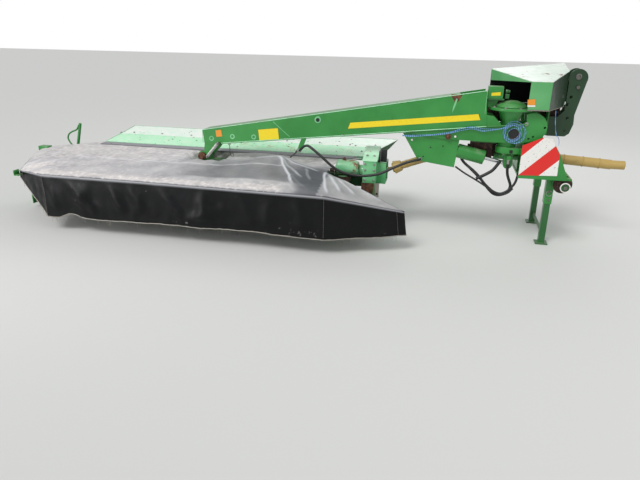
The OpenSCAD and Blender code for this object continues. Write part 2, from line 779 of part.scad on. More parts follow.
// The cover's profile over the bed, from the canvas line to the rear lip
cover_line = [[join_y, roof_z + 6], [130, 642], [330, 694], [rear_y - 10, 600], [rear_y, 430]];
module rear_cover() {
    n = len(cover_line);
    color("palegreen") place() intersection() {
        run_x(-4300, 3600) polygon(concat(cover_line,
            [for (i = [n - 1:-1:0]) cover_line[i] + [i == n - 1 ? -cover_t : 0, i == n - 1 ? 0 : -cover_t]]));
        linear_extrude(1000) polygon([[-3744, join_y - 1], [-3640, 340], [-3700, rear_y + 1], [-930, rear_y + 1],
            [-912, 330], [-1185, join_y - 1]]);
    }
}

module rear_flap() {
    color("black") place() box(-1017, -1009, -330, -210, 594, 700);
}

module swath_stick() {
    color("limegreen") place() {
        box(plate_out_x + 70, plate_out_x + 120, beam_y + beam_s / 2, 175, beam_top - 45, beam_top - 5);
        bar([plate_out_x + 95, 140, beam_top - 15], [plate_out_x + 160, 140, 720], 14);
    }
}

// The canvas's plan, from the outer end to the inner end
join_row = [[canopy_out_x, -150, 515], [-3744, join_y, roof_z], [-2900, join_y, roof_z], [-2000, join_y, roof_z],
    [-1400, join_y, roof_z], [-1190, join_y - 40, roof_z - 6]];
hinge_row = [[-4240, hinge_y, 492], [-3744, hinge_y, hinge_z], [-2900, hinge_y, hinge_z], [-2000, hinge_y, hinge_z],
    [-1500, hinge_y, hinge_z], [-1420, hinge_y, hinge_z - 4]];
edge_row = [tip_out, [corner_out_x, front_y, front_z], [-2900, front_y, front_z], [-2000, front_y, front_z],
    [corner_in_x, front_y, front_z], tip_in];
hem_row = [tip_out + [0, 0, -55], [corner_out_x, front_y, hem_z], [-2900, front_y, hem_z], [-2000, front_y, hem_z],
    [corner_in_x, front_y, hem_z], [tip_in[0], tip_in[1], hem_z]];
function shifted(row, d) = [for (p = row) p + d];
function inward(row, t, dz) = [for (i = [0:len(row) - 1]) row[i]
    + [i == 0 ? t : i == len(row) - 1 ? -t : 0, t, dz]];

module canvas_top() {
    color("dimgray") place() difference() {
        sheet([join_row, shifted(hinge_row, [0, hinge_gap, slot_rise])],
            [shifted(join_row, [0, 0, -canvas_t]), shifted(hinge_row, [0, hinge_gap, slot_rise - canvas_t])]);
        box(bed_x - 115, bed_x + 185, arm_y - arm_w / 2 - 45, arm_y + arm_w / 2 + 30, 400, 700);
        box(-1395, -1000, disc_y - 20, arm_y + 15, 400, 700);
    }
}

// The front canvas in three panels: first and last column, and how far each end stands off its seam
panels = [[0, 1, 0, -gap], [1, 4, 0, 0], [4, 5, gap, 0]];
function panel(row, p) = [for (k = [p[0]:p[1]]) row[k] + [k == p[0] ? p[2] : k == p[1] ? p[3] : 0, 0, 0]];
module canvas_front() {
    outer = [shifted(hinge_row, [0, -hinge_gap, -slot_rise]), edge_row, hem_row];
    inner = [shifted(hinge_row, [0, -hinge_gap, -slot_rise - canvas_t]), inward(edge_row, canvas_t, -canvas_t),
        inward(hem_row, canvas_t, 0)];
    color("black") place() for (p = panels) sheet([for (r = outer) panel(r, p)], [for (r = inner) panel(r, p)]);
}

// The point at distance d from a on the way to b
function short_of(a, b, d) = a + d * unit(b - a);
module guard_frame() {
    z0 = hinge_z - hinge_r;
    y1 = front_y + 34;
    z1 = front_z - canvas_t + (y1 - front_y - canvas_t) * canvas_fall - (front_bar_r + gap) / cos(atan(canvas_fall));
    color("seagreen") place() {
        bar([-3760, hinge_y, z0], [-1490, hinge_y, z0], hinge_r);
        bar([corner_out_x + 25, y1, z1], [corner_in_x - 25, y1, z1], front_bar_r);
        for (x = guard_x) {
            knee = [x, hinge_y - 50, z0 - 30];
            bar(knee, short_of([x, hinge_y, z0], knee, hinge_r + gap), 8);
            bar(knee, short_of([x, y1, z1], knee, front_bar_r + gap), 10);
        }
        bar([corner_out_x + 20, y1, z1], tip_out + [30, 30, -28], 10);
        bar([corner_in_x - 20, y1, z1], tip_in + [-60, 20, -34], 10);
    }
}

// One disc with its two knives; the discs of a pair stand a quarter turn apart
module disc(i) {
    color(i % 2 == 0 ? "silver" : "gray") place() translate([-disc_x_in - (disc_n - i) * disc_pitch, disc_y, disc_z])
        rotate([0, 0, i % 2 == 0 ? 90 : 0]) {
            translate([0, 0, spindle_z0 - disc_z]) cylinder(h = disc_z - spindle_z0 + 10, r = spindle_r);
            translate([0, 0, bar_z1 + gap - disc_z]) cylinder(h = 20, r = 45);
            intersection() {
                rotate_extrude() polygon([[0, 0], [disc_r, 0], [disc_r, 6], [120, 20], [70, 40], [0, 40]]);
                union() for (s = [-1, 1]) intersection() {
                    translate([0, s * 175, -1]) cylinder(h = 60, r = 300);
                    translate([0, -s * 175, -1]) cylinder(h = 60, r = 300);
                }
            }
            for (s = [-1, 1]) translate([s > 0 ? 150 : -knife_reach, -24, -4]) cube([knife_reach - 150, 48, 4]);
        }
}

headstock_frame();
king_arms();
mast();
hitch_pins();
hood();
warning_panel();
input_gearbox();
input_shaft();
parking_stand();
turret();
turret_cap();
rod_clevis();
swivel_gearbox();
arm_beam();
arm_cheeks();
arm_skirt();
arm_pins();
hose_bracket();
arm_hose();
lift_hose();
lift_barrel();
lift_rod();
bed_beam();
bed_foot();
cutter_bar();
skid_shoes();
end_plates();
bed_gearbox();
gearbox_cover();
drive_shaft();
canopy_ribs();
rear_cover();
rear_flap();
swath_stick();
canvas_top();
guard_frame();
canvas_front();
disc(1);  // disc_1
disc(2);  // disc_2
disc(3);  // disc_3
disc(4);  // disc_4
disc(5);  // disc_5
disc(6);  // disc_6
disc(7);  // disc_7
disc(8);  // disc_8
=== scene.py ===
import bmesh
import bpy
import math
import random
from mathutils import Matrix, Vector, noise


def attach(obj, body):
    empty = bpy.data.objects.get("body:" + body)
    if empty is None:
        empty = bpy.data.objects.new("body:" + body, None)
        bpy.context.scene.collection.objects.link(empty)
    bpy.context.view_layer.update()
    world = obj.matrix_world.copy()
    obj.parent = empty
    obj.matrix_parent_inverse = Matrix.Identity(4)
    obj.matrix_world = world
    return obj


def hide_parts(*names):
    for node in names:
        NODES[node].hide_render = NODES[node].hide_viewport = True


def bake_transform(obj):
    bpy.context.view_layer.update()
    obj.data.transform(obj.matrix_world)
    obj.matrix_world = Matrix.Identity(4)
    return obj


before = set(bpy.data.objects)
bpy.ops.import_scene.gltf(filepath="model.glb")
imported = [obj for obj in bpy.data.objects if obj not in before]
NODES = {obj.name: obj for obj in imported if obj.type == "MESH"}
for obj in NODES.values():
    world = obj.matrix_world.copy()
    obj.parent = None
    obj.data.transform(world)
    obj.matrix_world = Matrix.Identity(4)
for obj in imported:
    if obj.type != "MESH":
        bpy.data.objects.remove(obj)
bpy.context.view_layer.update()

# Places are given in mm from a point on the ground: X from the king pin to the tractor, Y from the hitch's middle, Z up
ORIGIN = Vector((1.6975, 0.2565, 0.0))
MM = 0.001


def at(x, y, z):
    return ORIGIN + Vector((x, y, z)) * MM


# Camera at the photograph's place, with its tilt and roll
CAMERA_AT = at(-519, -5010, 1620)
CAMERA_TURN = 12.0
CAMERA_DOWN = 20.2
CAMERA_ROLL = 1.0
CAMERA_LENS = 31.5


def make_camera():
    data = bpy.data.cameras.new("camera")
    data.lens = CAMERA_LENS
    data.sensor_width = 36.0
    camera = bpy.data.objects.new("camera", data)
    bpy.context.collection.objects.link(camera)
    turn, down, roll = (math.radians(a) for a in (CAMERA_TURN, CAMERA_DOWN, CAMERA_ROLL))
    look = Matrix.Rotation(turn, 4, "Z") @ Matrix.Rotation(math.pi / 2 - down, 4, "X") @ Matrix.Rotation(roll, 4, "Z")
    camera.matrix_world = Matrix.Translation(CAMERA_AT) @ look
    bpy.context.scene.camera = camera


make_camera()


# The arm's own frame: X along the arm from the lifting pivot, Z square to it
ARM_SLOPE = math.radians(6.51)
LIFT_PIVOT = (35, -300, 905)


def on_arm(x, y, z):
    c, s = math.cos(ARM_SLOPE), math.sin(ARM_SLOPE)
    return (LIFT_PIVOT[0] + x * c - z * s, LIFT_PIVOT[1] + y, LIFT_PIVOT[2] + x * s + z * c)


# Materials

def linear(hex_text):
    parts = [int(hex_text[i:i + 2], 16) / 255 for i in (1, 3, 5)]
    return tuple(p / 12.92 if p <= 0.04045 else ((p + 0.055) / 1.055) ** 2.4 for p in parts) + (1.0,)


def add(tree, kind, inputs=None, stops=None, **settings):
    made = tree.nodes.new(kind)
    for name, value in settings.items():
        setattr(made, name, value)
    if stops:
        elements = made.color_ramp.elements
        elements[0].position, elements[1].position = stops[0][0], stops[-1][0]
        elements[0].color, elements[1].color = linear(stops[0][1]), linear(stops[-1][1])
        for place, colour in stops[1:-1]:
            elements.new(place).color = linear(colour)
    for name, value in (inputs or {}).items():
        if isinstance(value, bpy.types.NodeSocket):
            tree.links.new(value, made.inputs[name])
        else:
            made.inputs[name].default_value = value
    return made


def new_material(name):
    material = bpy.data.materials.new(name)
    material.use_nodes = True
    tree = material.node_tree
    shader = tree.nodes["Principled BSDF"]
    return material, tree, shader, add(tree, "ShaderNodeTexCoord").outputs


# Share of a spot that an edge's paint is rubbed from, in broken stretches
def rubbed_edges(tree, place, width_mm, broken_mm):
    rounded = add(tree, "ShaderNodeBevel", {"Radius": width_mm * MM}, samples=4).outputs["Normal"]
    flat = add(tree, "ShaderNodeNewGeometry").outputs["Normal"]
    turn = add(tree, "ShaderNodeVectorMath", {0: rounded, 1: flat}, operation="DOT_PRODUCT").outputs["Value"]
    edge = add(tree, "ShaderNodeMapRange", {"Value": turn, "From Min": 0.97, "From Max": 0.8}).outputs["Result"]
    patch = add(tree, "ShaderNodeTexNoise", {"Vector": place["Object"], "Scale": 1 / (broken_mm * MM), "Detail": 4.0})
    broken = add(tree, "ShaderNodeMapRange", {"Value": patch.outputs["Fac"], "From Min": 0.5, "From Max": 0.62})
    return add(tree, "ShaderNodeMath", {0: edge, 1: broken.outputs["Result"]}, operation="MULTIPLY").outputs[0]


# Sprayed enamel over steel: glossy under the sky, faded and dusty where it faces up, rubbed through along its edges
def enamel(name, fresh, faded, dust="#a9a794", worn="#6a5643", dusty=0.45, rusty=0.0):
    material, tree, shader, place = new_material(name)
    cloud = add(tree, "ShaderNodeTexNoise", {"Vector": place["Object"], "Scale": 1 / 0.3, "Detail": 5.0}).outputs["Fac"]
    paint = add(tree, "ShaderNodeValToRGB", {"Fac": cloud}, [(0.35, fresh), (0.7, faded)]).outputs["Color"]
    grime = add(tree, "ShaderNodeTexNoise", {"Vector": place["Object"], "Scale": 1 / 0.05, "Detail": 8.0}).outputs["Fac"]
    up = add(tree, "ShaderNodeSeparateXYZ", {"Vector": place["Normal"]}).outputs["Z"]
    lying = add(tree, "ShaderNodeMapRange", {"Value": up, "From Min": 0.3, "From Max": 0.95, "To Max": dusty})
    settled = add(tree, "ShaderNodeMapRange", {"Value": grime, "From Min": 0.4, "From Max": 0.7, "To Min": 0.15})
    share = add(tree, "ShaderNodeMath", {0: lying.outputs[0], 1: settled.outputs[0]}, operation="MULTIPLY").outputs[0]
    dusted = add(tree, "ShaderNodeMix", {0: share, 6: paint, 7: linear(dust)}, data_type="RGBA").outputs[2]
    if rusty:
        spots = add(tree, "ShaderNodeTexNoise", {"Vector": place["Object"], "Scale": 1 / 0.09, "Detail": 10.0,
                                                 "Roughness": 0.65}).outputs["Fac"]
        spread = add(tree, "ShaderNodeMapRange", {"Value": spots, "From Min": 0.66 - rusty, "From Max": 0.72 - rusty})
        dusted = add(tree, "ShaderNodeMix", {0: spread.outputs[0], 6: dusted, 7: linear("#7d5038")},
                     data_type="RGBA").outputs[2]
    bare = rubbed_edges(tree, place, 4, 40)
    colour = add(tree, "ShaderNodeMix", {0: bare, 6: dusted, 7: linear(worn)}, data_type="RGBA").outputs[2]
    tree.links.new(colour, shader.inputs["Base Color"])
    rough = add(tree, "ShaderNodeMapRange", {"Value": grime, "From Min": 0.3, "From Max": 0.7, "To Min": 0.3,
                                             "To Max": 0.5})
    tree.links.new(rough.outputs[0], shader.inputs["Roughness"])
    shader.inputs["Coat Weight"].default_value = 0.25
    shader.inputs["Coat Roughness"].default_value = 0.12
    peel = add(tree, "ShaderNodeTexNoise", {"Vector": place["Object"], "Scale": 1 / 0.008, "Detail": 3.0})
    bump = add(tree, "ShaderNodeBump", {"Height": peel.outputs["Fac"], "Distance": 0.00025, "Strength": 0.25})
    tree.links.new(bump.outputs["Normal"], shader.inputs["Normal"])
    return material


# Iron left bare for years: brown scale with darker pits and an orange bloom
def rusted_iron(name, dark="#38271f", middle="#64422f", light="#86583b"):
    material, tree, shader, place = new_material(name)
    scale = add(tree, "ShaderNodeTexNoise", {"Vector": place["Object"], "Scale": 1 / 0.025, "Detail": 10.0}).outputs["Fac"]
    colour = add(tree, "ShaderNodeValToRGB", {"Fac": scale}, [(0.3, dark), (0.52, middle), (0.72, light)])
    tree.links.new(colour.outputs["Color"], shader.inputs["Base Color"])
    shader.inputs["Roughness"].default_value = 0.75
    shader.inputs["Metallic"].default_value = 0.2
    pits = add(tree, "ShaderNodeTexNoise", {"Vector": place["Object"], "Scale": 1 / 0.004, "Detail": 8.0}).outputs["Fac"]
    bump = add(tree, "ShaderNodeBump", {"Height": pits, "Distance": 0.0006, "Strength": 0.6})
    tree.links.new(bump.outputs["Normal"], shader.inputs["Normal"])
    return material


# Steel that work keeps bright, drawn or ground, with fine marks along its run and brown in the hollows
def worked_steel(name, dark="#5c564e", light="#94938f", run=(1, 8, 8), metallic=0.85):
    material, tree, shader, place = new_material(name)
    along = add(tree, "ShaderNodeMapping", {"Vector": place["Object"], "Scale": run}).outputs["Vector"]
    marks = add(tree, "ShaderNodeTexNoise", {"Vector": along, "Scale": 1 / 0.014, "Detail": 6.0}).outputs["Fac"]
    colour = add(tree, "ShaderNodeValToRGB", {"Fac": marks}, [(0.35, dark), (0.7, light)]).outputs["Color"]
    tree.links.new(colour, shader.inputs["Base Color"])
    shader.inputs["Metallic"].default_value = metallic
    rough = add(tree, "ShaderNodeMapRange", {"Value": marks, "From Min": 0.2, "From Max": 0.8, "To Min": 0.3,
                                             "To Max": 0.5})
    tree.links.new(rough.outputs[0], shader.inputs["Roughness"])
    bump = add(tree, "ShaderNodeBump", {"Height": marks, "Distance": 0.0002, "Strength": 0.3})
    tree.links.new(bump.outputs["Normal"], shader.inputs["Normal"])
    return material


# Hard chrome on the cylinder's rod: a clean mirror with a thin film of oil
def hard_chrome(name):
    material, tree, shader, place = new_material(name)
    shader.inputs["Base Color"].default_value = linear("#d5d6d8")
    shader.inputs["Metallic"].default_value = 1.0
    film = add(tree, "ShaderNodeTexNoise", {"Vector": place["Object"], "Scale": 1 / 0.03, "Detail": 4.0}).outputs["Fac"]
    rough = add(tree, "ShaderNodeMapRange", {"Value": film, "From Min": 0.3, "From Max": 0.7, "To Min": 0.08,
                                             "To Max": 0.2})
    tree.links.new(rough.outputs[0], shader.inputs["Roughness"])
    return material


# Extruded rubber: deep black, matt, greyed by dust where it faces the sky
def extruded_rubber(name, black="#17181a", dust="#4d4c48", share=0.4):
    material, tree, shader, place = new_material(name)
    up = add(tree, "ShaderNodeSeparateXYZ", {"Vector": place["Normal"]}).outputs["Z"]
    lying = add(tree, "ShaderNodeMapRange", {"Value": up, "From Min": 0.1, "From Max": 1.0, "To Max": share}).outputs[0]
    colour = add(tree, "ShaderNodeMix", {0: lying, 6: linear(black), 7: linear(dust)}, data_type="RGBA").outputs[2]
    tree.links.new(colour, shader.inputs["Base Color"])
    shader.inputs["Roughness"].default_value = 0.55
    grain = add(tree, "ShaderNodeTexNoise", {"Vector": place["Object"], "Scale": 1 / 0.003}).outputs["Fac"]
    bump = add(tree, "ShaderNodeBump", {"Height": grain, "Distance": 0.0001, "Strength": 0.3})
    tree.links.new(bump.outputs["Normal"], shader.inputs["Normal"])
    return material


# Blow-moulded polyethylene: tan, slightly waxy, with darker stains along its run
def moulded_polyethylene(name, tan="#b79a57", stain="#7d6a3d"):
    material, tree, shader, place = new_material(name)
    along = add(tree, "ShaderNodeMapping", {"Vector": place["Object"], "Scale": (0.4, 1, 1)}).outputs["Vector"]
    cloud = add(tree, "ShaderNodeTexNoise", {"Vector": along, "Scale": 1 / 0.07, "Detail": 8.0}).outputs["Fac"]
    stains = add(tree, "ShaderNodeMapRange", {"Value": cloud, "From Min": 0.48, "From Max": 0.75, "To Max": 0.7})
    colour = add(tree, "ShaderNodeMix", {0: stains.outputs[0], 6: linear(tan), 7: linear(stain)}, data_type="RGBA")
    tree.links.new(colour.outputs[2], shader.inputs["Base Color"])
    shader.inputs["Roughness"].default_value = 0.42
    shader.inputs["IOR"].default_value = 1.51
    bump = add(tree, "ShaderNodeBump", {"Height": cloud, "Distance": 0.0004, "Strength": 0.2})
    tree.links.new(bump.outputs["Normal"], shader.inputs["Normal"])
    return material


# Reflective sheeting on a steel plate: red and white bands of 104 mm that rise towards the tractor
STRIPE_WIDTH = 0.104
STRIPE_START = 0.5688


def striped_sheeting(name, red="#d9251f", white="#e6e4df"):
    material, tree, shader, place = new_material(name)
    across = add(tree, "ShaderNodeVectorMath", {0: place["Object"], 1: (-0.7071, 0, 0.7071)}, operation="DOT_PRODUCT")
    turns = add(tree, "ShaderNodeMath", {0: across.outputs["Value"], 1: 0.5 / STRIPE_WIDTH, 2: STRIPE_START},
                operation="MULTIPLY_ADD")
    part = add(tree, "ShaderNodeMath", {0: turns.outputs[0]}, operation="FRACT").outputs[0]
    band = add(tree, "ShaderNodeMath", {0: part, 1: 0.5}, operation="GREATER_THAN").outputs[0]
    stripes = add(tree, "ShaderNodeMix", {0: band, 6: linear(red), 7: linear(white)}, data_type="RGBA").outputs[2]
    scuffs = add(tree, "ShaderNodeTexNoise", {"Vector": place["Object"], "Scale": 1 / 0.012, "Detail": 8.0}).outputs["Fac"]
    worn = add(tree, "ShaderNodeMapRange", {"Value": scuffs, "From Min": 0.62, "From Max": 0.68, "To Max": 0.75})
    colour = add(tree, "ShaderNodeMix", {0: worn.outputs[0], 6: stripes, 7: linear("#5b5750")}, data_type="RGBA")
    tree.links.new(colour.outputs[2], shader.inputs["Base Color"])
    shader.inputs["Roughness"].default_value = 0.4
    return material


# Printed vinyl: flat colour, satin, dirtied in small specks
def vinyl(name, colour_hex, dirt="#7a6a3a"):
    material, tree, shader, place = new_material(name)
    specks = add(tree, "ShaderNodeTexNoise", {"Vector": place["Object"], "Scale": 1 / 0.007, "Detail": 6.0}).outputs["Fac"]
    dirty = add(tree, "ShaderNodeMapRange", {"Value": specks, "From Min": 0.6, "From Max": 0.72, "To Max": 0.5})
    colour = add(tree, "ShaderNodeMix", {0: dirty.outputs[0], 6: linear(colour_hex), 7: linear(dirt)}, data_type="RGBA")
    tree.links.new(colour.outputs[2], shader.inputs["Base Color"])
    shader.inputs["Roughness"].default_value = 0.35
    return material


# Twisted polypropylene twine: blue, dry and bleached, with the twist drawn coarse enough to show
def baler_twine(name, light="#8db4dd", dark="#3f6fae"):
    material, tree, shader, place = new_material(name)
    twist = add(tree, "ShaderNodeTexWave", {"Vector": place["Object"], "Scale": 1 / (0.008 * 6.3), "Distortion": 4.0})
    colour = add(tree, "ShaderNodeMix", {0: twist.outputs["Fac"], 6: linear(light), 7: linear(dark)}, data_type="RGBA")
    tree.links.new(colour.outputs[2], shader.inputs["Base Color"])
    shader.inputs["Roughness"].default_value = 0.9
    return material


# PVC-coated polyester cloth: black and satin where it hangs, with a painted grey sky sheen where it lies and painted
# shade where its dust value is low, with chaff and dust in bands that each point of the mesh carries, and painted
# highlights along fold ridges and the front edge; the weave is drawn at 3 mm so that it shows
CANVAS_WEAVE = 0.003


def coated_cloth(name):
    material, tree, shader, place = new_material(name)
    up = add(tree, "ShaderNodeSeparateXYZ", {"Vector": place["Normal"]}).outputs["Z"]
    lying = add(tree, "ShaderNodeMapRange", {"Value": up, "From Min": 0.5, "From Max": 0.85}).outputs[0]
    cloud = add(tree, "ShaderNodeTexNoise", {"Vector": place["Object"], "Scale": 1 / 0.18, "Detail": 8.0}).outputs["Fac"]
    hung = add(tree, "ShaderNodeValToRGB", {"Fac": cloud}, [(0.3, "#040506"), (0.6, "#08090b"), (0.8, "#131418")])
    # Painted sky sheen: where the cloth lies it is drawn light grey, a lit copy of the black cloth
    sky_sheen_grey = add(tree, "ShaderNodeValToRGB", {"Fac": cloud}, [(0.3, "#9e9c9f"), (0.5, "#b3b1b3"), (0.72, "#c9c6c6")])
    amount = add(tree, "ShaderNodeAttribute", attribute_name="dust").outputs["Fac"]
    # Painted shade: where the dust value is low the top is drawn dark grey in place of the painted sheen
    sheen_share = add(tree, "ShaderNodeMapRange", {"Value": amount, "From Min": 0.0, "From Max": 0.13}).outputs[0]
    top_shade_and_sheen = add(tree, "ShaderNodeMix", {0: sheen_share, 6: linear("#55565c"), 7: sky_sheen_grey.outputs["Color"]}, data_type="RGBA")
    cloth = add(tree, "ShaderNodeMix", {0: lying, 6: hung.outputs["Color"], 7: top_shade_and_sheen.outputs[2]}, data_type="RGBA")
    chaff = add(tree, "ShaderNodeTexNoise", {"Vector": place["Object"], "Scale": 1 / 0.04, "Detail": 7.0,
                                             "Roughness": 0.55}).outputs["Fac"]
    reach = add(tree, "ShaderNodeMath", {0: amount, 1: chaff}, operation="ADD").outputs[0]
    dusty = add(tree, "ShaderNodeMapRange", {"Value": reach, "From Min": 0.7, "From Max": 1.23, "To Max": 0.9})
    tint = add(tree, "ShaderNodeValToRGB", {"Fac": chaff}, [(0.35, "#cbc4c0"), (0.5, "#d6cfcb"), (0.66, "#e4dfdb")])
    laden = add(tree, "ShaderNodeMix", {0: dusty.outputs[0], 6: cloth.outputs[2], 7: tint.outputs["Color"]},
                data_type="RGBA")
    # Painted highlight: the mesh's second layer whitens the cloth along fold ridges and the front edge
    fold_highlight = add(tree, "ShaderNodeAttribute", attribute_name="fold_highlight").outputs["Fac"]
    worn = add(tree, "ShaderNodeMapRange", {"Value": fold_highlight, "From Min": 0.1, "From Max": 0.9, "To Max": 0.88})
    pale = add(tree, "ShaderNodeMix", {0: worn.outputs[0], 6: laden.outputs[2], 7: linear("#dfe0e6")}, data_type="RGBA")
    specks = add(tree, "ShaderNodeTexNoise", {"Vector": place["Object"], "Scale": 1 / 0.011, "Detail": 4.0,
                                              "Roughness": 0.8}).outputs["Fac"]
    bits = add(tree, "ShaderNodeMapRange", {"Value": specks, "From Min": 0.725, "From Max": 0.74, "To Max": 0.6})
    colour = add(tree, "ShaderNodeMix", {0: bits.outputs[0], 6: pale.outputs[2], 7: linear("#a99d88")}, data_type="RGBA")
    tree.links.new(colour.outputs[2], shader.inputs["Base Color"])
    rough = add(tree, "ShaderNodeMapRange", {"Value": reach, "From Min": 0.3, "From Max": 1.2, "To Min": 0.3,
                                             "To Max": 0.75})
    tree.links.new(rough.outputs[0], shader.inputs["Roughness"])
    shader.inputs["Specular IOR Level"].default_value = 0.22
    weave = add(tree, "ShaderNodeTexChecker", {"Vector": place["Object"], "Scale": 1 / CANVAS_WEAVE}).outputs["Fac"]
    fine = add(tree, "ShaderNodeBump", {"Height": weave, "Distance": 0.0001, "Strength": 0.15})
    wrinkle = add(tree, "ShaderNodeTexNoise", {"Vector": place["Object"], "Scale": 1 / 0.06, "Detail": 5.0}).outputs["Fac"]
    bump = add(tree, "ShaderNodeBump", {"Height": wrinkle, "Distance": 0.004, "Strength": 0.35,
                                        "Normal": fine.outputs["Normal"]})
    tree.links.new(bump.outputs["Normal"], shader.inputs["Normal"])
    return material


GREEN = enamel("green_enamel", "#227b2d", "#369040")
DEEP_GREEN = enamel("deep_green_enamel", "#1a5a24", "#296b33")
# Painted shade: a darker copy of the green enamel, for the mast
SHADED_GREEN = enamel("shaded_green_enamel", "#0f3516", "#19431f", dusty=0.15)
FADED_GREEN = enamel("faded_green_enamel", "#55ad6c", "#86c996", dusty=0.7)
PALE_GREEN = enamel("pale_green_enamel", "#9fe3b4", "#b8efc6", dust="#e4e8dc", dusty=0.5, rusty=0.02)
# Painted sky glare: a whiter copy of the pale green enamel for the cover's upper panel, with dust and rust specks
SKY_GLARE_GREEN = enamel("sky_glare_green_enamel", "#cfe8d6", "#e0ebe1", dust="#edece6", dusty=0.8, rusty=0.03)
CHIPPED = enamel("chipped_green_enamel", "#63ad78", "#8ac79a", dusty=0.5, rusty=0.13)
HOOD_GREEN = enamel("hood_enamel", "#4a9a58", "#67ad70", dusty=0.4)
# Painted shade: a darker copy of the hood enamel, for the hood's side and back walls
HOOD_SHADE = enamel("shaded_hood_enamel", "#102c14", "#19391e", dusty=0.1)
# Painted sky glare: a pale copy of the hood enamel for the hood's roof, with dust and rust specks
HOOD_ROOF = enamel("sky_glare_hood_enamel", "#ccdccd", "#dbe3da", dust="#c6ccc3", dusty=0.35, rusty=0.05)
RUST = rusted_iron("rusted_iron")
DARK_RUST = rusted_iron("oily_rusted_iron", "#241a16", "#44302a", "#6b4a38")
STEEL = worked_steel("worn_steel")
DARK_STEEL = worked_steel("dark_bar_steel", "#3c3a37", "#66625b", (8, 1, 8), 0.6)
ZINC = worked_steel("zinc_plate", "#8a8985", "#b9b9b6", (1, 1, 1), 0.7)
CHROME = hard_chrome("hard_chrome")
RUBBER = extruded_rubber("extruded_rubber")
GUARD = moulded_polyethylene("tan_polyethylene")
STRIPES = striped_sheeting("striped_sheeting")
YELLOW = vinyl("yellow_vinyl", "#ecd21f")
ORANGE = vinyl("orange_vinyl", "#e6922c")
WHITE = vinyl("white_vinyl", "#e4e2dc")
STRIP = extruded_rubber("grey_rubber_strip", "#5a5a5f", "#8f8e93", 0.9)
FRAYED = vinyl("frayed_polyester", "#8d887f", "#635a4d")
CHAFF = vinyl("dry_chaff", "#4c4334", "#6b5a38")
STRAW = vinyl("dry_straw", "#c3a86c", "#8c7646")
# Black print for label rims; the same black also stands as painted shade in holes and recesses
BLACK_PRINT_AND_HOLE_SHADE = vinyl("black_print_and_hole_shade", "#191b1a", "#3a352c")
TWINE = baler_twine("baler_twine")
CLOTH = coated_cloth("coated_cloth")

FINISH = {
    "headstock_frame": GREEN, "king_arms": GREEN, "mast": SHADED_GREEN, "hitch_pins": STEEL, "hood": HOOD_GREEN,
    "warning_panel": STRIPES, "input_gearbox": GREEN, "input_shaft": GUARD, "parking_stand": DEEP_GREEN,
    "turret": GREEN, "turret_cap": GREEN, "rod_clevis": GREEN, "swivel_gearbox": DARK_RUST,
    "arm_beam": GREEN, "arm_cheeks": GREEN, "arm_skirt": GREEN, "arm_pins": RUST,
    "hose_bracket": GREEN, "arm_hose": RUBBER, "lift_hose": RUBBER, "lift_barrel": GREEN, "lift_rod": CHROME,
    "bed_beam": DEEP_GREEN, "bed_foot": GREEN, "cutter_bar": DARK_STEEL, "skid_shoes": STEEL, "end_plates": GREEN,
    "bed_gearbox": FADED_GREEN, "gearbox_cover": PALE_GREEN, "drive_shaft": GUARD, "canopy_ribs": DEEP_GREEN,
    "rear_cover": PALE_GREEN, "rear_flap": RUBBER, "swath_stick": GREEN, "guard_frame": DEEP_GREEN}
FINISH.update({f"disc_{number}": STEEL for number in range(1, 9)})

# Nodes whose sharp sheet and plate edges are broken, with the radius in mm
BROKEN_EDGES = {
    "headstock_frame": 3, "king_arms": 3, "mast": 2, "hood": 1.5, "input_gearbox": 8, "parking_stand": 3, "turret": 4,
    "turret_cap": 3, "rod_clevis": 4, "swivel_gearbox": 8, "arm_beam": 2.5, "arm_cheeks": 2, "arm_skirt": 2,
    "arm_pins": 3, "lift_barrel": 3, "bed_beam": 3, "bed_foot": 3, "cutter_bar": 3, "skid_shoes": 3, "end_plates": 2,
    "bed_gearbox": 6, "gearbox_cover": 6, "swath_stick": 3}


def dress_nodes():
    for name, material in FINISH.items():
        node = NODES[name]
        node.data.materials.clear()
        node.data.materials.append(material)
        if name in BROKEN_EDGES:
            node.modifiers.new("weld", "WELD").merge_threshold = 0.00002
            flat = node.modifiers.new("flat", "DECIMATE")
            flat.decimate_type = "DISSOLVE"
            flat.angle_limit = math.radians(0.5)
            rounding = node.modifiers.new("edges", "BEVEL")
            rounding.width = BROKEN_EDGES[name] * MM
            rounding.segments = 2
            rounding.limit_method = "ANGLE"
            rounding.angle_limit = math.radians(35)
            rounding.harden_normals = True


dress_nodes()


# Small tools for meshes: each adds one closed shape to a mesh in work, from places in mm

def join_rings(bm, rings):
    count = len(rings[0])
    for low, high in zip(rings, rings[1:]):
        for k in range(count):
            bm.faces.new((low[k], low[(k + 1) % count], high[(k + 1) % count], high[k]))
    bm.faces.new(list(reversed(rings[0])))
    bm.faces.new(rings[-1])


def ring(bm, centre, side, other, radius, sides):
    turns = (2 * math.pi * k / sides for k in range(sides))
    return [bm.verts.new(centre + radius * MM * (math.cos(a) * side + math.sin(a) * other)) for a in turns]


def tube(bm, points, radius, sides=10):
    places = [at(*p) for p in points]
    last = len(places) - 1
    rings, side = [], None
    for i, place in enumerate(places):
        run = (places[min(i + 1, last)] - places[max(i - 1, 0)]).normalized()
        side = run.orthogonal() if side is None else side - run * side.dot(run)
        side.normalize()
        r = radius[i] if isinstance(radius, (list, tuple)) else radius
        rings.append(ring(bm, place, side, run.cross(side), r, sides))
    join_rings(bm, rings)


def turned(bm, base, axis, profile, sides=24):
    run = Vector(axis).normalized()
    side = run.orthogonal().normalized()
    other = run.cross(side)
    join_rings(bm, [ring(bm, at(*base) + run * along * MM, side, other, max(r, 0.01), sides) for along, r in profile])


def slab(bm, outline, low, high, place):
    join_rings(bm, [[bm.verts.new(at(*place(a, b, depth))) for a, b in outline] for depth in (low, high)])


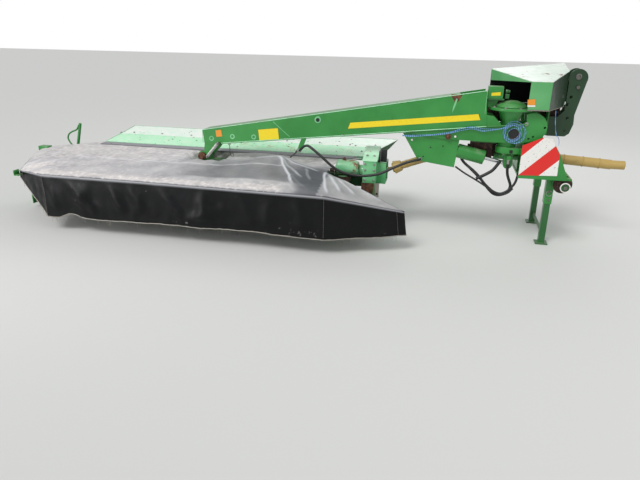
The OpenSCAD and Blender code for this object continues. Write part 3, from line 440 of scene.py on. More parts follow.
def block(bm, low, high):
    slab(bm, [(low[0], low[1]), (high[0], low[1]), (high[0], high[1]), (low[0], high[1])], low[2], high[2],
         lambda a, b, depth: (a, b, depth))


def bolt(bm, base, axis, across=17, height=8, washer=26):
    turned(bm, base, axis, [(0, washer / 2), (1.6, washer / 2), (2.2, washer / 2 - 0.8)], 20)
    turned(bm, base, axis, [(1.5, across / 2 * 1.15), (height - 1, across / 2 * 1.15), (height, across / 2 * 0.95)], 6)


def smooth_line(points, steps=6):
    made = []
    for i in range(len(points) - 1):
        a, b, c, d = (Vector(points[min(max(i + k, 0), len(points) - 1)]) for k in (-1, 0, 1, 2))
        for s in range(steps):
            t = s / steps
            made.append(0.5 * (2 * b + (c - a) * t + (2 * a - 5 * b + 4 * c - d) * t * t + (3 * b - a - 3 * c + d) * t ** 3))
    return made + [Vector(points[-1])]


def finish(name, bm, material, body, crisp=32, rounding=0.0):
    bmesh.ops.recalc_face_normals(bm, faces=bm.faces)
    if rounding:
        sharp = [e for e in bm.edges if e.is_manifold and e.calc_face_angle() > math.radians(crisp)]
        bmesh.ops.bevel(bm, geom=sharp, offset=rounding * MM, segments=2, affect="EDGES", profile=0.5)
    for face in bm.faces:
        face.smooth = True
    for edge in bm.edges:
        edge.smooth = edge.is_manifold and edge.calc_face_angle() < math.radians(crisp)
    mesh = bpy.data.meshes.new(name)
    bm.to_mesh(mesh)
    bm.free()
    mesh.materials.append(material)
    made = bpy.data.objects.new(name, mesh)
    bpy.context.collection.objects.link(made)
    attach(made, body)
    return made


# The canvas: one sheet from the metal cover over the hinged guard and down its front, and round both ends.
# Rows from the cover to the hem, each from the outer end to the inner end
CANVAS_ROWS = (
    ((-4380, -150, 515), (-3744, -60, 589), (-2900, -60, 589), (-2000, -60, 589), (-1400, -60, 589), (-1190, -100, 582)),
    ((-4330, -330, 507), (-3744, -290, 571), (-2900, -290, 571), (-2000, -290, 573), (-1470, -290, 569), (-1404, -300, 564)),
    ((-4225, -560, 492), (-3744, -585, 549), (-2900, -585, 549), (-2000, -585, 549), (-1480, -575, 547), (-1420, -545, 541)),
    ((-4100, -870, 455), (-3738, -1058, 496), (-2900, -1058, 497), (-2000, -1058, 490), (-1336, -1058, 486), (-745, -812, 338)),
    ((-4104, -868, 400), (-3738, -1054, 124), (-2900, -1054, 138), (-2000, -1054, 148), (-1336, -1054, 132), (-716, -800, 134)))
CANVAS_COLUMNS = (34, 52, 56, 40, 40)
CANVAS_BANDS = (16, 20, 28, 26)
CANVAS_THICK = 2.4
PEAK = (-1880, -400)
PEAK_RISE = 56
FOOT = (-2672, -387, -2424, -208)
FOOT_UNDER = 519.0

# Folds on the top: from, to, half width, height, strength of the painted highlight along the fold's ridge
TOP_FOLDS = (
    (-1880, -400, -1593, -936, 22, 15, 1.0), (-1870, -420, -1558, -770, 26, 11, 0.55),
    (-1860, -410, -1443, -590, 24, 13, 0.8), (-1850, -390, -1470, -470, 22, 10, 0.6),
    (-1890, -400, -2090, -455, 26, 9, 0.6), (-2090, -455, -2330, -500, 26, 8, 0.4),
    (-1420, -560, -1330, -1040, 22, 10, 1.0), (-1372, -600, -1235, -900, 30, 12, 0.9),
    (-1330, -600, -1120, -850, 30, 10, 0.7), (-1290, -600, -900, -800, 34, 9, 0.5),
    (-1600, -560, -1500, -800, 34, 9, 0.35), (-1700, -700, -1480, -980, 44, 8, 0.2),
    (-2690, -430, -2850, -560, 24, 9, 0.5), (-2705, -350, -2950, -400, 26, 8, 0.45),
    (-2405, -400, -2270, -520, 24, 9, 0.4), (-2395, -330, -2210, -350, 24, 8, 0.4),
    (-2600, -425, -2640, -620, 28, 7, 0.25), (-2460, -425, -2440, -610, 28, 7, 0.25),
    (-2700, -250, -2900, -200, 26, 7, 0.35), (-2400, -250, -2250, -180, 24, 7, 0.4),
    (-2300, -250, -1950, -230, 26, 7, 0.5), (-2250, -160, -1800, -200, 22, 6, 0.5),
    (-4080, -850, -3760, -640, 38, 15, 0.5), (-4120, -770, -3930, -480, 34, 15, 0.45),
    (-4190, -620, -3950, -360, 36, 12, 0.4), (-4260, -450, -3980, -200, 40, 11, 0.35),
    (-4040, -900, -3640, -900, 30, 9, 0.4), (-3760, -640, -3500, -600, 30, 6, 0.3),
    (-3740, -585, -1500, -585, 16, 4, 0.75))

# Folds on the hanging front: from, to (along X and Z), half width, bulge
FRONT_FOLDS = (
    (-3520, 490, -3250, 180, 44, 13), (-3690, 470, -3640, 200, 40, 8), (-3330, 470, -3420, 200, 50, 9),
    (-3130, 480, -3010, 210, 48, 12), (-2930, 470, -2850, 220, 46, 9), (-2690, 470, -2500, 200, 50, 13),
    (-2480, 200, -2080, 330, 50, 8), (-2300, 460, -2330, 200, 46, 9), (-2010, 450, -1900, 180, 50, 10),
    (-1760, 450, -1800, 190, 46, 8), (-1560, 440, -1470, 180, 44, 10), (-1180, 380, -1250, 170, 44, 8),
    (-960, 340, -900, 160, 44, 8))


def off_segment(px, py, fold):
    bend = noise.noise_vector(Vector((px / 130, py / 130, 0.5)))
    px, py = px + 20 * bend.x, py + 20 * bend.y
    x0, y0, x1, y1 = fold[:4]
    dx, dy = x1 - x0, y1 - y0
    along = ((px - x0) * dx + (py - y0) * dy) / (dx * dx + dy * dy)
    held = min(max(along, 0.0), 1.0)
    reach = math.hypot(px - x0 - held * dx, py - y0 - held * dy)
    return reach, held


def ease(value):
    value = min(max(value, 0.0), 1.0)
    return value * value * (3 - 2 * value)


def peak_rise(x, y):
    if x < PEAK[0]:
        crest = ease(1 - (PEAK[0] - x) / 480) ** 0.8
        crest_y = PEAK[1] - 0.24 * (PEAK[0] - x)
    else:
        crest = max(0.0, 1 - (x - PEAK[0]) / 330) ** 1.3
        crest_y = PEAK[1] - 0.35 * (x - PEAK[0])
    if y < crest_y:
        return PEAK_RISE * crest * max(0.0, (y + 1058) / (crest_y + 1058)) ** 1.1
    return PEAK_RISE * crest * ease(1 - (y - crest_y) / 190)


def foot_dip(x, y, z):
    away = math.hypot(max(FOOT[0] - x, 0, x - FOOT[2]), max(FOOT[1] - y, 0, y - FOOT[3]))
    bunch = 5 * math.sin(9 * math.atan2(y + 298, x + 2548)) * math.exp(-((away - 45) / 40) ** 2)
    return (FOOT_UNDER - z) * math.exp(-(away / 34) ** 2) + bunch


def canvas_point(u, v):
    i, j = min(int(u), 4), min(int(v), 3)
    s, t = u - i, v - j
    low = Vector(CANVAS_ROWS[j][i]).lerp(Vector(CANVAS_ROWS[j][i + 1]), s)
    high = Vector(CANVAS_ROWS[j + 1][i]).lerp(Vector(CANVAS_ROWS[j + 1][i + 1]), s)
    return low.lerp(high, t)


def shape_canvas(u, v):
    """Place in mm, dust and painted highlight of one point of the sheet; low dust also gives the top painted shade."""
    base = canvas_point(u, v)
    x, y, z = base
    top = v <= 3
    fold_highlight = 0.0
    if top:
        fade = ease((3 - v) * 5)
        rise = peak_rise(x, y)
        for fold in TOP_FOLDS:
            reach, held = off_segment(x, y, fold)
            if reach < 3 * fold[4]:
                ridge = math.exp(-(reach / fold[4]) ** 2) * ease(4 * (1 - held) + 0.25) * ease(5 * held + 0.3)
                rise += fold[5] * ridge * fade
                # Painted highlight along the fold's ridge
                fold_highlight = max(fold_highlight, fold[6] * math.exp(-(reach / (0.5 * fold[4])) ** 2) * ease(4 * (1 - held)))
        calm = fade * ease((-y - 140) / 70)
        rise += 5.0 * calm * noise.noise(Vector((x / 150, y / 110, 3.1))) + 2.0 * calm * noise.noise(Vector((x / 45, y / 60, 8)))
        z += rise
        z += foot_dip(x, y, z)
        # Painted shadow of the arm's foot: the dust value drops here, which the cloth draws as a darker grey top
        foot_shadow = ease((x + 3300) / 1000) * ease((-330 - y) / 110) * (1 - 0.7 * ease((-850 - y) / 60))
        dust = (0.28 + 0.16 * ease((y + 620) / 60)) * (1 - 0.82 * foot_shadow)
        dust += 0.36 * math.exp(-((y + 1000) / 45) ** 2) * ease((x + 4000) / 200) * ease((-1300 - x) / 260)
        dust += 0.6 * math.exp(-((x + 3950) / 130) ** 2 - ((y + 830) / 70) ** 2)
        dust += 0.25 * math.exp(-((x + 1700) / 160) ** 2 - ((y + 980) / 80) ** 2)
        # The dust value, and with it the painted sheen of the top, also drops right of the peak towards the front
        dust *= 1 - 0.95 * ease((x + 1820) / 300) * ease((-450 - y) / 90)
        if x > -1400 and y < -560:
            dust = 0.1
    else:
        down = v - 3
        bulge = 0.0
        for fold in FRONT_FOLDS:
            reach, held = off_segment(x, z, fold)
            if reach < 3 * fold[4]:
                bulge += fold[5] * math.exp(-(reach / fold[4]) ** 2) * ease(4 * (1 - held) + 0.2)
        bulge += 7 * noise.noise(Vector((x / 210, z / 500, 1.7))) + 2.5 * noise.noise(Vector((x / 60, z / 120, 5)))
        swing = 2.0 * bulge * ease(down * 2.2) - 5
        normal = Vector((0, -1, 0))
        if x > -1336:
            normal = Vector((0.385, -0.923, 0))
        elif x < -3738:
            normal = Vector((-0.46, -0.888, 0))
        x, y = x + normal.x * swing, y + normal.y * swing
        arch = 34 * math.exp(-((x + 3498) / 90) ** 2) - 10 * math.exp(-((x + 3640) / 60) ** 2)
        z += down ** 2 * (arch + 7 * noise.noise(Vector((x / 170, 4.4, 0))) + 3 * noise.noise(Vector((x / 40, 1.1, 0))))
        dust = 0.05 * ease(down * 3 - 2) + 0.1 * math.exp(-((x + 1550) / 200) ** 2) * ease(down * 3 - 1.6)
        # Painted highlight along the rounded front edge
        fold_highlight = 0.75 * math.exp(-(down * 374 / 24) ** 2)
    return (x, y, z), max(dust, 0.0), fold_highlight


def cut_canvas(bm, low, high):
    """Cuts a rectangle out of the sheet, seen from above."""
    for axis, value in ((0, low[0]), (0, high[0]), (1, low[1]), (1, high[1])):
        near = [f for f in bm.faces if all(low[k] * MM - 0.05 < f.calc_center_median()[k] - ORIGIN[k] < high[k] * MM + 0.05
                                           for k in (0, 1))]
        geometry = near + list({e for f in near for e in f.edges}) + list({p for f in near for p in f.verts})
        normal = Vector((1, 0, 0)) if axis == 0 else Vector((0, 1, 0))
        bmesh.ops.bisect_plane(bm, geom=geometry, dist=1e-6, plane_co=ORIGIN + normal * value * MM, plane_no=normal)
    inside = [f for f in bm.faces if all(low[k] * MM < f.calc_center_median()[k] - ORIGIN[k] < high[k] * MM for k in (0, 1))]
    bmesh.ops.delete(bm, geom=inside, context="FACES")


def make_canvas():
    us = [i + s / n for i, n in enumerate(CANVAS_COLUMNS) for s in range(n)] + [5]
    vs = [j + s / n for j, n in enumerate(CANVAS_BANDS) for s in range(n)] + [4]
    bm = bmesh.new()
    # Besides dust, this layer sets the top's painted shade where it is low
    dust = bm.verts.layers.float.new("dust")
    # Painted highlights along fold ridges and the front edge
    fold_highlight = bm.verts.layers.float.new("fold_highlight")
    grid = []
    for v in vs:
        line = []
        for u in us:
            # The second value is the dust, whose low values also give the top painted shade; the third is the painted
            # highlight
            place, dirt, rubbed = shape_canvas(u, v)
            vert = bm.verts.new(at(*place))
            vert[dust], vert[fold_highlight] = dirt, rubbed
            line.append(vert)
        grid.append(line)
    for low, high in zip(grid, grid[1:]):
        for k in range(len(us) - 1):
            bm.faces.new((low[k], high[k], high[k + 1], low[k + 1]))
    inner = [v for v in bm.verts if not v.is_boundary]
    for _ in range(2):
        bmesh.ops.smooth_vert(bm, verts=inner, factor=0.5, use_axis_x=True, use_axis_y=True, use_axis_z=True)
    edge_row = sum(CANVAS_BANDS[:3])
    edge = [vert for line in grid[edge_row - 2:edge_row + 3] for vert in line[1:-1]]
    for _ in range(5):
        bmesh.ops.smooth_vert(bm, verts=edge, factor=0.5, use_axis_x=False, use_axis_y=True, use_axis_z=True)
    hem = [vert.co.copy() for vert in grid[-1]]
    cut_canvas(bm, (FOOT[0] + 30, FOOT[1] + 12, 0), (FOOT[2] - 30, FOOT[3] - 12, 0))
    for face in bm.faces:
        face.smooth = True
    mesh = bpy.data.meshes.new("canopy_canvas")
    bm.to_mesh(mesh)
    bm.free()
    mesh.materials.append(CLOTH)
    sheet = bpy.data.objects.new("canopy_canvas", mesh)
    bpy.context.collection.objects.link(sheet)
    thick = sheet.modifiers.new("thick", "SOLIDIFY")
    thick.thickness = CANVAS_THICK * MM
    thick.offset = 0.0
    bpy.context.view_layer.update()
    final = bpy.data.meshes.new_from_object(sheet.evaluated_get(bpy.context.evaluated_depsgraph_get()))
    sheet.modifiers.clear()
    sheet.data = final
    return sheet, hem


canopy_canvas, hem_line = make_canvas()
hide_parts("canvas_top", "canvas_front")
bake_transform(canopy_canvas)


# The headstock's, swivel's and arm's own small parts

ARM_NEAR = -390
LEDGE_NEAR = -404
PANEL_NEAR = -450


def on_face(bm, outline, low, high):
    slab(bm, outline, low, high, lambda a, b, depth: (a, depth, b))


def face_label(name, outline, face, material, body, rim=2.5, thick=0.5):
    """A printed label on an upright face, with its dark printed rim."""
    middle = [sum(p[k] for p in outline) / len(outline) for k in (0, 1)]
    wide = []
    for a, b in outline:
        away = math.hypot(a - middle[0], b - middle[1])
        wide.append((a + (a - middle[0]) * rim / away, b + (b - middle[1]) * rim / away))
    bm = bmesh.new()
    on_face(bm, wide, face - 0.1, face - thick)
    finish(name + "_rim", bm, BLACK_PRINT_AND_HOLE_SHADE, body)
    bm = bmesh.new()
    on_face(bm, outline, face - 0.1 - thick, face - 2 * thick)
    finish(name, bm, material, body)


def make_arm_labels():
    face_label("arm_stripe", [(-1280, 887), (-231, 1006), (-250, 1051), (-1263, 936)], ARM_NEAR, YELLOW, "arm")
    face_label("arm_warning_label", [(-2052, 748), (-1875, 769), (-1885, 861), (-2061, 839)], ARM_NEAR, YELLOW, "arm", 2)
    face_label("arm_small_label", [(-2445, 757), (-2392, 765), (-2400, 822), (-2453, 813)], ARM_NEAR, ORANGE, "arm", 1)


def make_arm_welds():
    bm = bmesh.new()
    for x, z in ((-2493, 742), (-2298, 768), (-2103, 774)):
        turned(bm, (x, ARM_NEAR + 1, z), (0, -1, 0), [(0, 23), (2.4, 21), (2.6, 15), (0.8, 12)], 28)
    seam = [(-1927 + 146 * t, ARM_NEAR, 913 - 121 * t) for t in (0, 0.25, 0.5, 0.75, 1)]
    tube(bm, seam, 3.4, 8)
    turned(bm, (-1537, ARM_NEAR + 1, 947), (0, -1, 0), [(0, 29), (5, 28), (6.5, 25), (6.5, 17)], 32)
    for run in ([(-202, ARM_NEAR - 0.5, 1056), (-202, ARM_NEAR - 0.5, 1225)],
                [(-2574, ARM_NEAR - 0.5, 700), (-2574, ARM_NEAR - 0.5, 808)]):
        tube(bm, run, 2.2, 8)
    finish("arm_welds", bm, FADED_GREEN, "arm", 40)
    bm = bmesh.new()
    # Painted shade: a black disc for the boss's hole
    turned(bm, (-1537, ARM_NEAR - 5.5, 947), (0, -1, 0), [(0, 16.5), (1.2, 16)], 28)
    finish("bushing_hole", bm, BLACK_PRINT_AND_HOLE_SHADE, "arm")
    # Painted highlights: pale green lines along the arm's upper and lower edges
    bm = bmesh.new()
    edge = [(x, ARM_NEAR - 1, z) for x, z in ((-2571, 814), (-1937, 925), (-1240, 1047), (-208, 1229))]
    tube(bm, edge, 2.6, 8)
    edge = [on_arm(x, -arm_half(), 80) for x in (-2440, -1700, -1000, -210)]
    tube(bm, edge, 2.6, 8)
    finish("arm_edge_highlight", bm, PALE_GREEN, "arm", 40)


def arm_half():
    return 90 + 14


def make_bare_patch():
    bm = bmesh.new()
    rim = [(-474, 1186), (-470, 1193), (-388, 1200), (-386, 1192), (-396, 1170), (-406, 1150), (-420, 1130), (-440, 1138),
           (-452, 1152), (-462, 1168)]
    on_face(bm, rim, ARM_NEAR - 0.1, ARM_NEAR - 0.5)
    finish("arm_bare_patch", bm, RUST, "arm")
    bm = bmesh.new()
    streak = [(-430, 1164), (-420, 1160), (-428, 1120), (-440, 1080), (-452, 1052), (-450, 1090), (-440, 1130)]
    on_face(bm, streak, ARM_NEAR - 0.5, ARM_NEAR - 0.8)
    finish("arm_pale_streak", bm, FADED_GREEN, "arm")


def make_arm_fixings():
    bm = bmesh.new()
    skirt = ARM_NEAR + 12
    for x, z, face in ((-750, 821, skirt), (-410, 869, -404)):
        turned(bm, (x, face, z), (0, -1, 0), [(0, 9), (3, 8.5), (5, 6), (5.4, 2)], 20)
    finish("skirt_plugs", bm, WHITE, "arm")
    bm = bmesh.new()
    # Painted shade: black discs for the skirt's holes
    for x, z in ((-596, 768), (-498, 783), (-650, 690)):
        turned(bm, (x, skirt + 0.4, z), (0, -1, 0), [(0, 6.5), (0.8, 6.2)], 18)
    finish("skirt_holes", bm, BLACK_PRINT_AND_HOLE_SHADE, "arm")
    bm = bmesh.new()
    turned(bm, (-465, -404, 866), (0, -1, 0), [(0, 22), (3, 22), (4, 20), (4, 13), (8, 12), (9, 10)], 28)
    for side in (-1, 1):
        turned(bm, (-2591, -300 + side * 116, 581), (0, side, 0), [(0, 25), (8, 25), (10, 22), (10, 15), (6, 13)], 28)
    finish("rusted_pin_washers", bm, RUST, "arm", 30)
    bm = bmesh.new()
    bolt(bm, (117, -391, 990), (0, -1, 0), 19, 10, 30)
    bolt(bm, (60, -391, 868), (0, -1, 0), 16, 9, 24)
    for x in (-2360, -1860, -1360, -860):
        place = on_arm(x, -100, 80)
        bolt(bm, (place[0], place[1], place[2]), (0.0, 0.0, 1.0), 13, 7, 0)
    finish("arm_bolts", bm, ZINC, "arm", 25)


def make_strap():
    bm = bmesh.new()
    low, high = Vector((-2531, 0, 582)), Vector((-2424, 0, 706))
    run = (high - low).normalized()
    side = Vector((run.z, 0, -run.x)) * 13
    outline = []
    for end, sign in ((high, 1), (low, -1)):
        for k in range(9):
            turn = math.radians(-90 + 180 * k / 8)
            along = run * (13 * math.cos(turn) * sign)
            outline.append(end + along + side * (math.sin(turn) * sign))
    on_face(bm, [(p.x, p.z) for p in outline], -417, -423)
    finish("foot_strap", bm, ZINC, "arm", 30, 0.8)
    bm = bmesh.new()
    turned(bm, (-2424, ARM_NEAR, 706), (0, -1, 0), [(0, 9), (27, 9)], 16)
    bolt(bm, (-2424, -423, 706), (0, -1, 0), 17, 9, 26)
    bolt(bm, (-2531, -423, 582), (0, -1, 0), 15, 8, 24)
    finish("strap_bolts", bm, STEEL, "arm", 25)
    bm = bmesh.new()
    hook = smooth_line([(-2326, -400, 700), (-2322, -402, 676), (-2319, -403, 636), (-2312, -404, 606), (-2298, -404, 594),
                        (-2286, -404, 604), (-2289, -404, 622)], 5)
    tube(bm, hook, 2.6, 8)
    tube(bm, smooth_line([(-2336, -404, 704), (-2326, -409, 712), (-2314, -404, 706), (-2322, -400, 696),
                          (-2336, -402, 700)], 4), 2.6, 8)
    finish("wire_hook", bm, DARK_STEEL, "arm", 40)


def make_hose_fittings():
    bm = bmesh.new()
    profile = [(0, 13), (2, 15), (12, 15), (13, 12.5), (30, 12.5), (31, 14), (38, 14), (40, 12)]
    turned(bm, (-1688, -403, 686), (0, -1, 0), profile, 20)
    turned(bm, (-672, -379, 668), (0, -1, 0), [(0, 15), (9, 15), (10, 12.5), (18, 12.4)], 20)
    finish("arm_hose_fittings", bm, ZINC, "arm", 30)
    bm = bmesh.new()
    tube(bm, smooth_line([(-1717, -409, 672), (-1730, -409, 656), (-1752, -410, 636), (-1772, -410, 622)], 4), 6, 10)
    turned(bm, (-1712, -409, 680), (-0.62, 0, -0.78), [(0, 10), (12, 10), (14, 8)], 6)
    finish("bracket_rod", bm, DARK_STEEL, "arm", 30)
    bm = bmesh.new()
    loop = [(104, -392, 600), (104, -392, 581), (91, -396, 522), (56, -400, 470), (18, -402, 440), (-23, -402, 428),
            (-76, -400, 447), (-133, -396, 492), (-190, -388, 547), (-247, -376, 597), (-290, -362, 632)]
    tube(bm, smooth_line(loop, 4), 10, 10)
    low = [(-386, -372, 622), (-313, -380, 577), (-241, -392, 541), (-178, -404, 509), (-123, -412, 477), (-59, -416, 441),
           (-10, -412, 424), (40, -408, 436), (80, -404, 478)]
    tube(bm, smooth_line(low, 4), 7, 10)
    short = [(-40, -372, 690), (-60, -376, 655), (-92, -384, 612), (-130, -392, 585), (-174, -400, 560), (-214, -400, 540)]
    tube(bm, smooth_line(short, 4), 13, 10)
    finish("tractor_hoses", bm, RUBBER, "swivel", 40)
    bm = bmesh.new()
    turned(bm, (20, -386, 706), (0, 0, -1), [(-2, 14), (8, 14), (9, 12.4), (34, 12.4), (36, 11.5)], 20)
    finish("lift_hose_fittings", bm, ZINC, "swivel", 30)


def make_twine():
    rng = random.Random(4)
    bm = bmesh.new()
    line = [(-830, -399, 862), (-773, -400, 866), (-675, -401, 869), (-515, -402, 889), (-437, -404, 909), (-361, -405, 937),
            (-284, -405, 947), (-204, -405, 938), (-142, -405, 939), (-76, -406, 952), (-20, -408, 972), (10, -410, 985)]
    for strand in range(3):
        wave = [(x, y - 2 * strand, z - 5 * strand + rng.uniform(-7, 7)) for x, y, z in line]
        tube(bm, smooth_line(wave, 5), 2.2, 7)
    for turn in range(6):
        radius = rng.uniform(46, 84)
        cx, cz = 27 + rng.uniform(-20, 20), 916 + rng.uniform(-18, 14)
        lean = rng.uniform(-6, 6)
        points = []
        for k in range(25):
            a = 2 * math.pi * k / 24
            points.append((cx + radius * math.cos(a), -408 - 1.6 * turn + lean * math.sin(a), cz + radius * 1.05 * math.sin(a)))
        tube(bm, points, 1.9, 7)
    loose = [(70, -412, 980), (100, -414, 965), (118, -414, 930), (108, -414, 880), (80, -413, 850), (40, -412, 838)]
    tube(bm, smooth_line(loose, 5), 2.4, 7)
    finish("blue_twine", bm, TWINE, "arm", 60)
    bm = bmesh.new()
    hang = [(305, -447, 1108), (309, -449, 1060), (320, -452, 980), (335, -456, 925), (352, -458, 908), (360, -459, 880),
            (362, -459, 848)]
    tube(bm, smooth_line(hang, 5), 2.2, 7)
    finish("hanging_twine", bm, TWINE, "headstock", 60)


def make_swivel_details():
    bm = bmesh.new()
    block(bm, (-192, -352, 1170), (-78, -262, 1262))
    finish("king_pin_block", bm, GREEN, "swivel", 30, 3)
    bm = bmesh.new()
    block(bm, (-205, -356, 1158), (-66, -258, 1170))
    block(bm, (-60, -330, 1170), (-30, -280, 1205))
    turned(bm, (-60, -305, 1222), (1, 0, 0), [(0, 16), (18, 16), (20, 12), (34, 12)], 20)
    finish("king_pin_block_plates", bm, DEEP_GREEN, "swivel", 30, 2)
    bm = bmesh.new()
    slab(bm, [(-198, 1160), (-106, 1160), (-120, 1119), (-180, 1096)], -320, -312, lambda a, b, depth: (a, depth, b))
    finish("king_pin_bracket", bm, GREEN, "swivel", 30, 2)
    # Painted shade: a dark sheet behind the king pin stands for the hoses and dirt there, in shade
    bm = bmesh.new()
    slab(bm, [(-195, 1150), (-50, 1150), (-50, 975), (-110, 985), (-190, 1040)], -190, -184, lambda a, b, depth: (a, depth, b))
    finish("hoses_and_shade_sheet", bm, DARK_RUST, "swivel", 30, 1)
    # Painted shade: a dark sheet fills the clevis
    bm = bmesh.new()
    slab(bm, [(-105, 690), (-60, 690), (-60, 804), (-105, 804)], -205, -199, lambda a, b, depth: (a, depth, b))
    finish("clevis_shade_fill", bm, DARK_RUST, "swivel", 30, 1)
    bm = bmesh.new()
    # Painted shade: a black disc for the recess round the pin
    turned(bm, (27, -400.3, 916), (0, -1, 0), [(0, 37), (1.2, 37), (1.8, 36)], 32)
    finish("pin_recess", bm, BLACK_PRINT_AND_HOLE_SHADE, "arm", 30)
    face_label("block_label", [(-168, 1190), (-98, 1195), (-101, 1220), (-168, 1213)], -352, YELLOW, "swivel", 1.2)


def make_hitch_details():
    bm = bmesh.new()
    for k in range(8):
        turn = math.radians(22.5 + 45 * k)
        bolt(bm, (142 * math.cos(turn), -300 + 142 * math.sin(turn), 1106), (0, 0, 1), 17, 9, 26)
    for x, z in ((312, 700), (312, 636)):
        for y in (-34, 34):
            bolt(bm, (x, y, z), (1, 0, 0), 13, 7, 20)
    finish("flange_bolts", bm, ZINC, "headstock", 25)
    bm = bmesh.new()
    ring_line = [(455 + 35 * math.cos(a), -486, 530 + 35 * math.sin(a)) for a in (math.pi * k / 18 for k in range(37))]
    tube(bm, ring_line, 4.5, 8)
    finish("hitch_pin_ring", bm, WHITE, "headstock", 60)
    bm = bmesh.new()
    turned(bm, (455, -440, 530), (0, -1, 0), [(0, 20), (1, 29), (40, 29), (42, 27), (42, 15)], 32)
    finish("hitch_pin_head", bm, DEEP_GREEN, "headstock", 30)
    bm = bmesh.new()
    for side in (-1, 1):
        turned(bm, (455, side * 365.5, 530), (0, side, 0), [(0, 72), (4, 72), (5, 46), (20, 46), (24, 42), (24, 16)], 36)
    finish("hitch_pin_collars", bm, DARK_RUST, "headstock", 30)
    bm = bmesh.new()
    block(bm, (-44, -391, 752), (94, -381, 799))
    finish("king_arm_nose", bm, GREEN, "headstock", 30, 2)
    bm = bmesh.new()
    # Painted shade: a black patch for the nose's recess
    block(bm, (17, -392, 757), (43, -390.5, 783))
    finish("nose_recess", bm, BLACK_PRINT_AND_HOLE_SHADE, "headstock", 30)
    bm = bmesh.new()
    tube(bm, [(250, 0, 1108), (250, 0, 1385)], 14, 14)
    finish("hood_post", bm, RUST, "headstock", 40)
    bm = bmesh.new()
    for y, side in ((-63, -1), (63, 1)):
        turned(bm, (505, y - side, 1335), (0, side, 0), [(0, 24), (7, 23), (8, 20), (8, 14), (2, 13)], 28)
    for z in (452, 380):
        turned(bm, (374, -330, z), (0, 1, 0), [(0, 7), (1, 9), (8, 9), (9, 7), (70, 7)], 16)
    finish("pins_and_bushings", bm, STEEL, "headstock", 30)
    bm = bmesh.new()
    points = [(374 + 24 * math.sin(a), -333, 440 + 22 * math.cos(a)) for a in (2 * math.pi * k / 18 for k in range(19))]
    tube(bm, points, 2.2, 7)
    finish("stand_pin_ring", bm, ZINC, "headstock", 40)
    face_label("hood_sticker", [(96, 1141), (152, 1143), (148, 1187), (92, 1181)], -451, ORANGE, "headstock", 1)
    face_label("hood_sticker_foot", [(98, 1127), (155, 1130), (152, 1142), (96, 1140)], -451, WHITE, "headstock", 1)


def make_input_guard():
    bm = bmesh.new()
    run = Vector((530, 0, -30)).normalized()
    base = Vector((352, 0, 668))
    turned(bm, base, run, [(0, 66), (6, 70), (90, 52), (96, 46), (96, 41)], 32)
    for along in (150, 300, 430):
        turned(bm, base + run * along, run, [(0, 41), (3, 44), (9, 44), (12, 41)], 32)
    finish("input_guard_cone", bm, GUARD, "headstock", 30)
    bm = bmesh.new()
    link = smooth_line([(420, -48, 640), (430, -62, 600), (424, -70, 575), (400, -80, 590), (372, -92, 610)], 6)
    for a, b in zip(link[::2], link[1::2]):
        tube(bm, [tuple(a), tuple(b)], 2.6, 7)
    finish("guard_chain", bm, ZINC, "headstock", 40)


def make_barrel_sleeve():
    bm = bmesh.new()
    slope = math.radians(12.08)
    run = Vector((math.cos(slope), 0, -math.sin(slope)))
    base = Vector((-620, -324, 797))
    profile = [(243, 42), (243, 55), (245, 57), (440, 57), (442, 58.5), (462, 58.5), (465, 56), (466, 40), (466, 17.5)]
    turned(bm, base + run * 0, run, profile, 40)
    finish("barrel_sleeve", bm, GREEN, "cylinder", 30)
    bm = bmesh.new()
    turned(bm, base + run * 466.2, run, [(0, 30), (3, 30), (4, 27), (4, 17.5)], 32)
    finish("rod_wiper", bm, RUBBER, "cylinder", 30)


make_barrel_sleeve()
make_arm_labels()
make_arm_welds()
make_bare_patch()
make_arm_fixings()
make_strap()
make_hose_fittings()
make_twine()
make_swivel_details()
make_hitch_details()
make_input_guard()


# The bed's own small parts

def roof_height(y):
    return 589 + 0.0783 * (y + 60)


def on_roof(a, b, depth):
    return (a, b, roof_height(b) + depth)


def on_cover(x, y):
    """Height of the metal cover's outer face over a place."""
    line = ((-60, 594), (130, 642), (330, 694), (535, 600), (545, 430))
    for (y0, z0), (y1, z1) in zip(line, line[1:]):
        if y <= y1:
            return z0 + (z1 - z0) * (y - y0) / (y1 - y0)
    return 430


def thick_sheet(bm, rows, drop):
    """A plate: rows of places on its upper face, and how far its lower face lies off."""
    grids = [[[bm.verts.new(at(p[0] + off[0], p[1] + off[1], p[2] + off[2])) for p in row] for row in rows]
             for off in ((0, 0, 0), drop)]
    top, low = grids
    for i in range(len(rows) - 1):
        for k in range(len(rows[0]) - 1):
            bm.faces.new((top[i][k], top[i][k + 1], top[i + 1][k + 1], top[i + 1][k]))
            bm.faces.new((low[i][k], low[i + 1][k], low[i + 1][k + 1], low[i][k + 1]))
    rim = ([(0, k) for k in range(len(rows[0]))] + [(i, -1) for i in range(1, len(rows))]
           + [(-1, k) for k in range(len(rows[0]) - 2, -1, -1)] + [(i, 0) for i in range(len(rows) - 2, 0, -1)])
    for (a, b), (c, d) in zip(rim, rim[1:] + rim[:1]):
        bm.faces.new((top[a][b], low[a][b], low[c][d], top[c][d]))


# The open hood over the king pin: corners seen from above, and its bottom edge
HOOD_PLAN = ((-168, -76), (102, -450), (256, -450), (428, -80), (430, 205))
HOOD_BOTTOM = 1108


def hood_top(y):
    return 1311 + 0.17 * (y + 450)


def hood_wall(bm, a, b, low_a, low_b, sheet=4):
    """A wall between two corners of the hood, standing inside its outline."""
    (x0, y0), (x1, y1) = a, b
    length = math.hypot(x1 - x0, y1 - y0)
    inside = ((y0 - y1) / length * sheet, (x1 - x0) / length * sheet, 0)
    thick_sheet(bm, [[(x0, y0, hood_top(y0)), (x1, y1, hood_top(y1))], [(x0, y0, low_a), (x1, y1, low_b)]], inside)


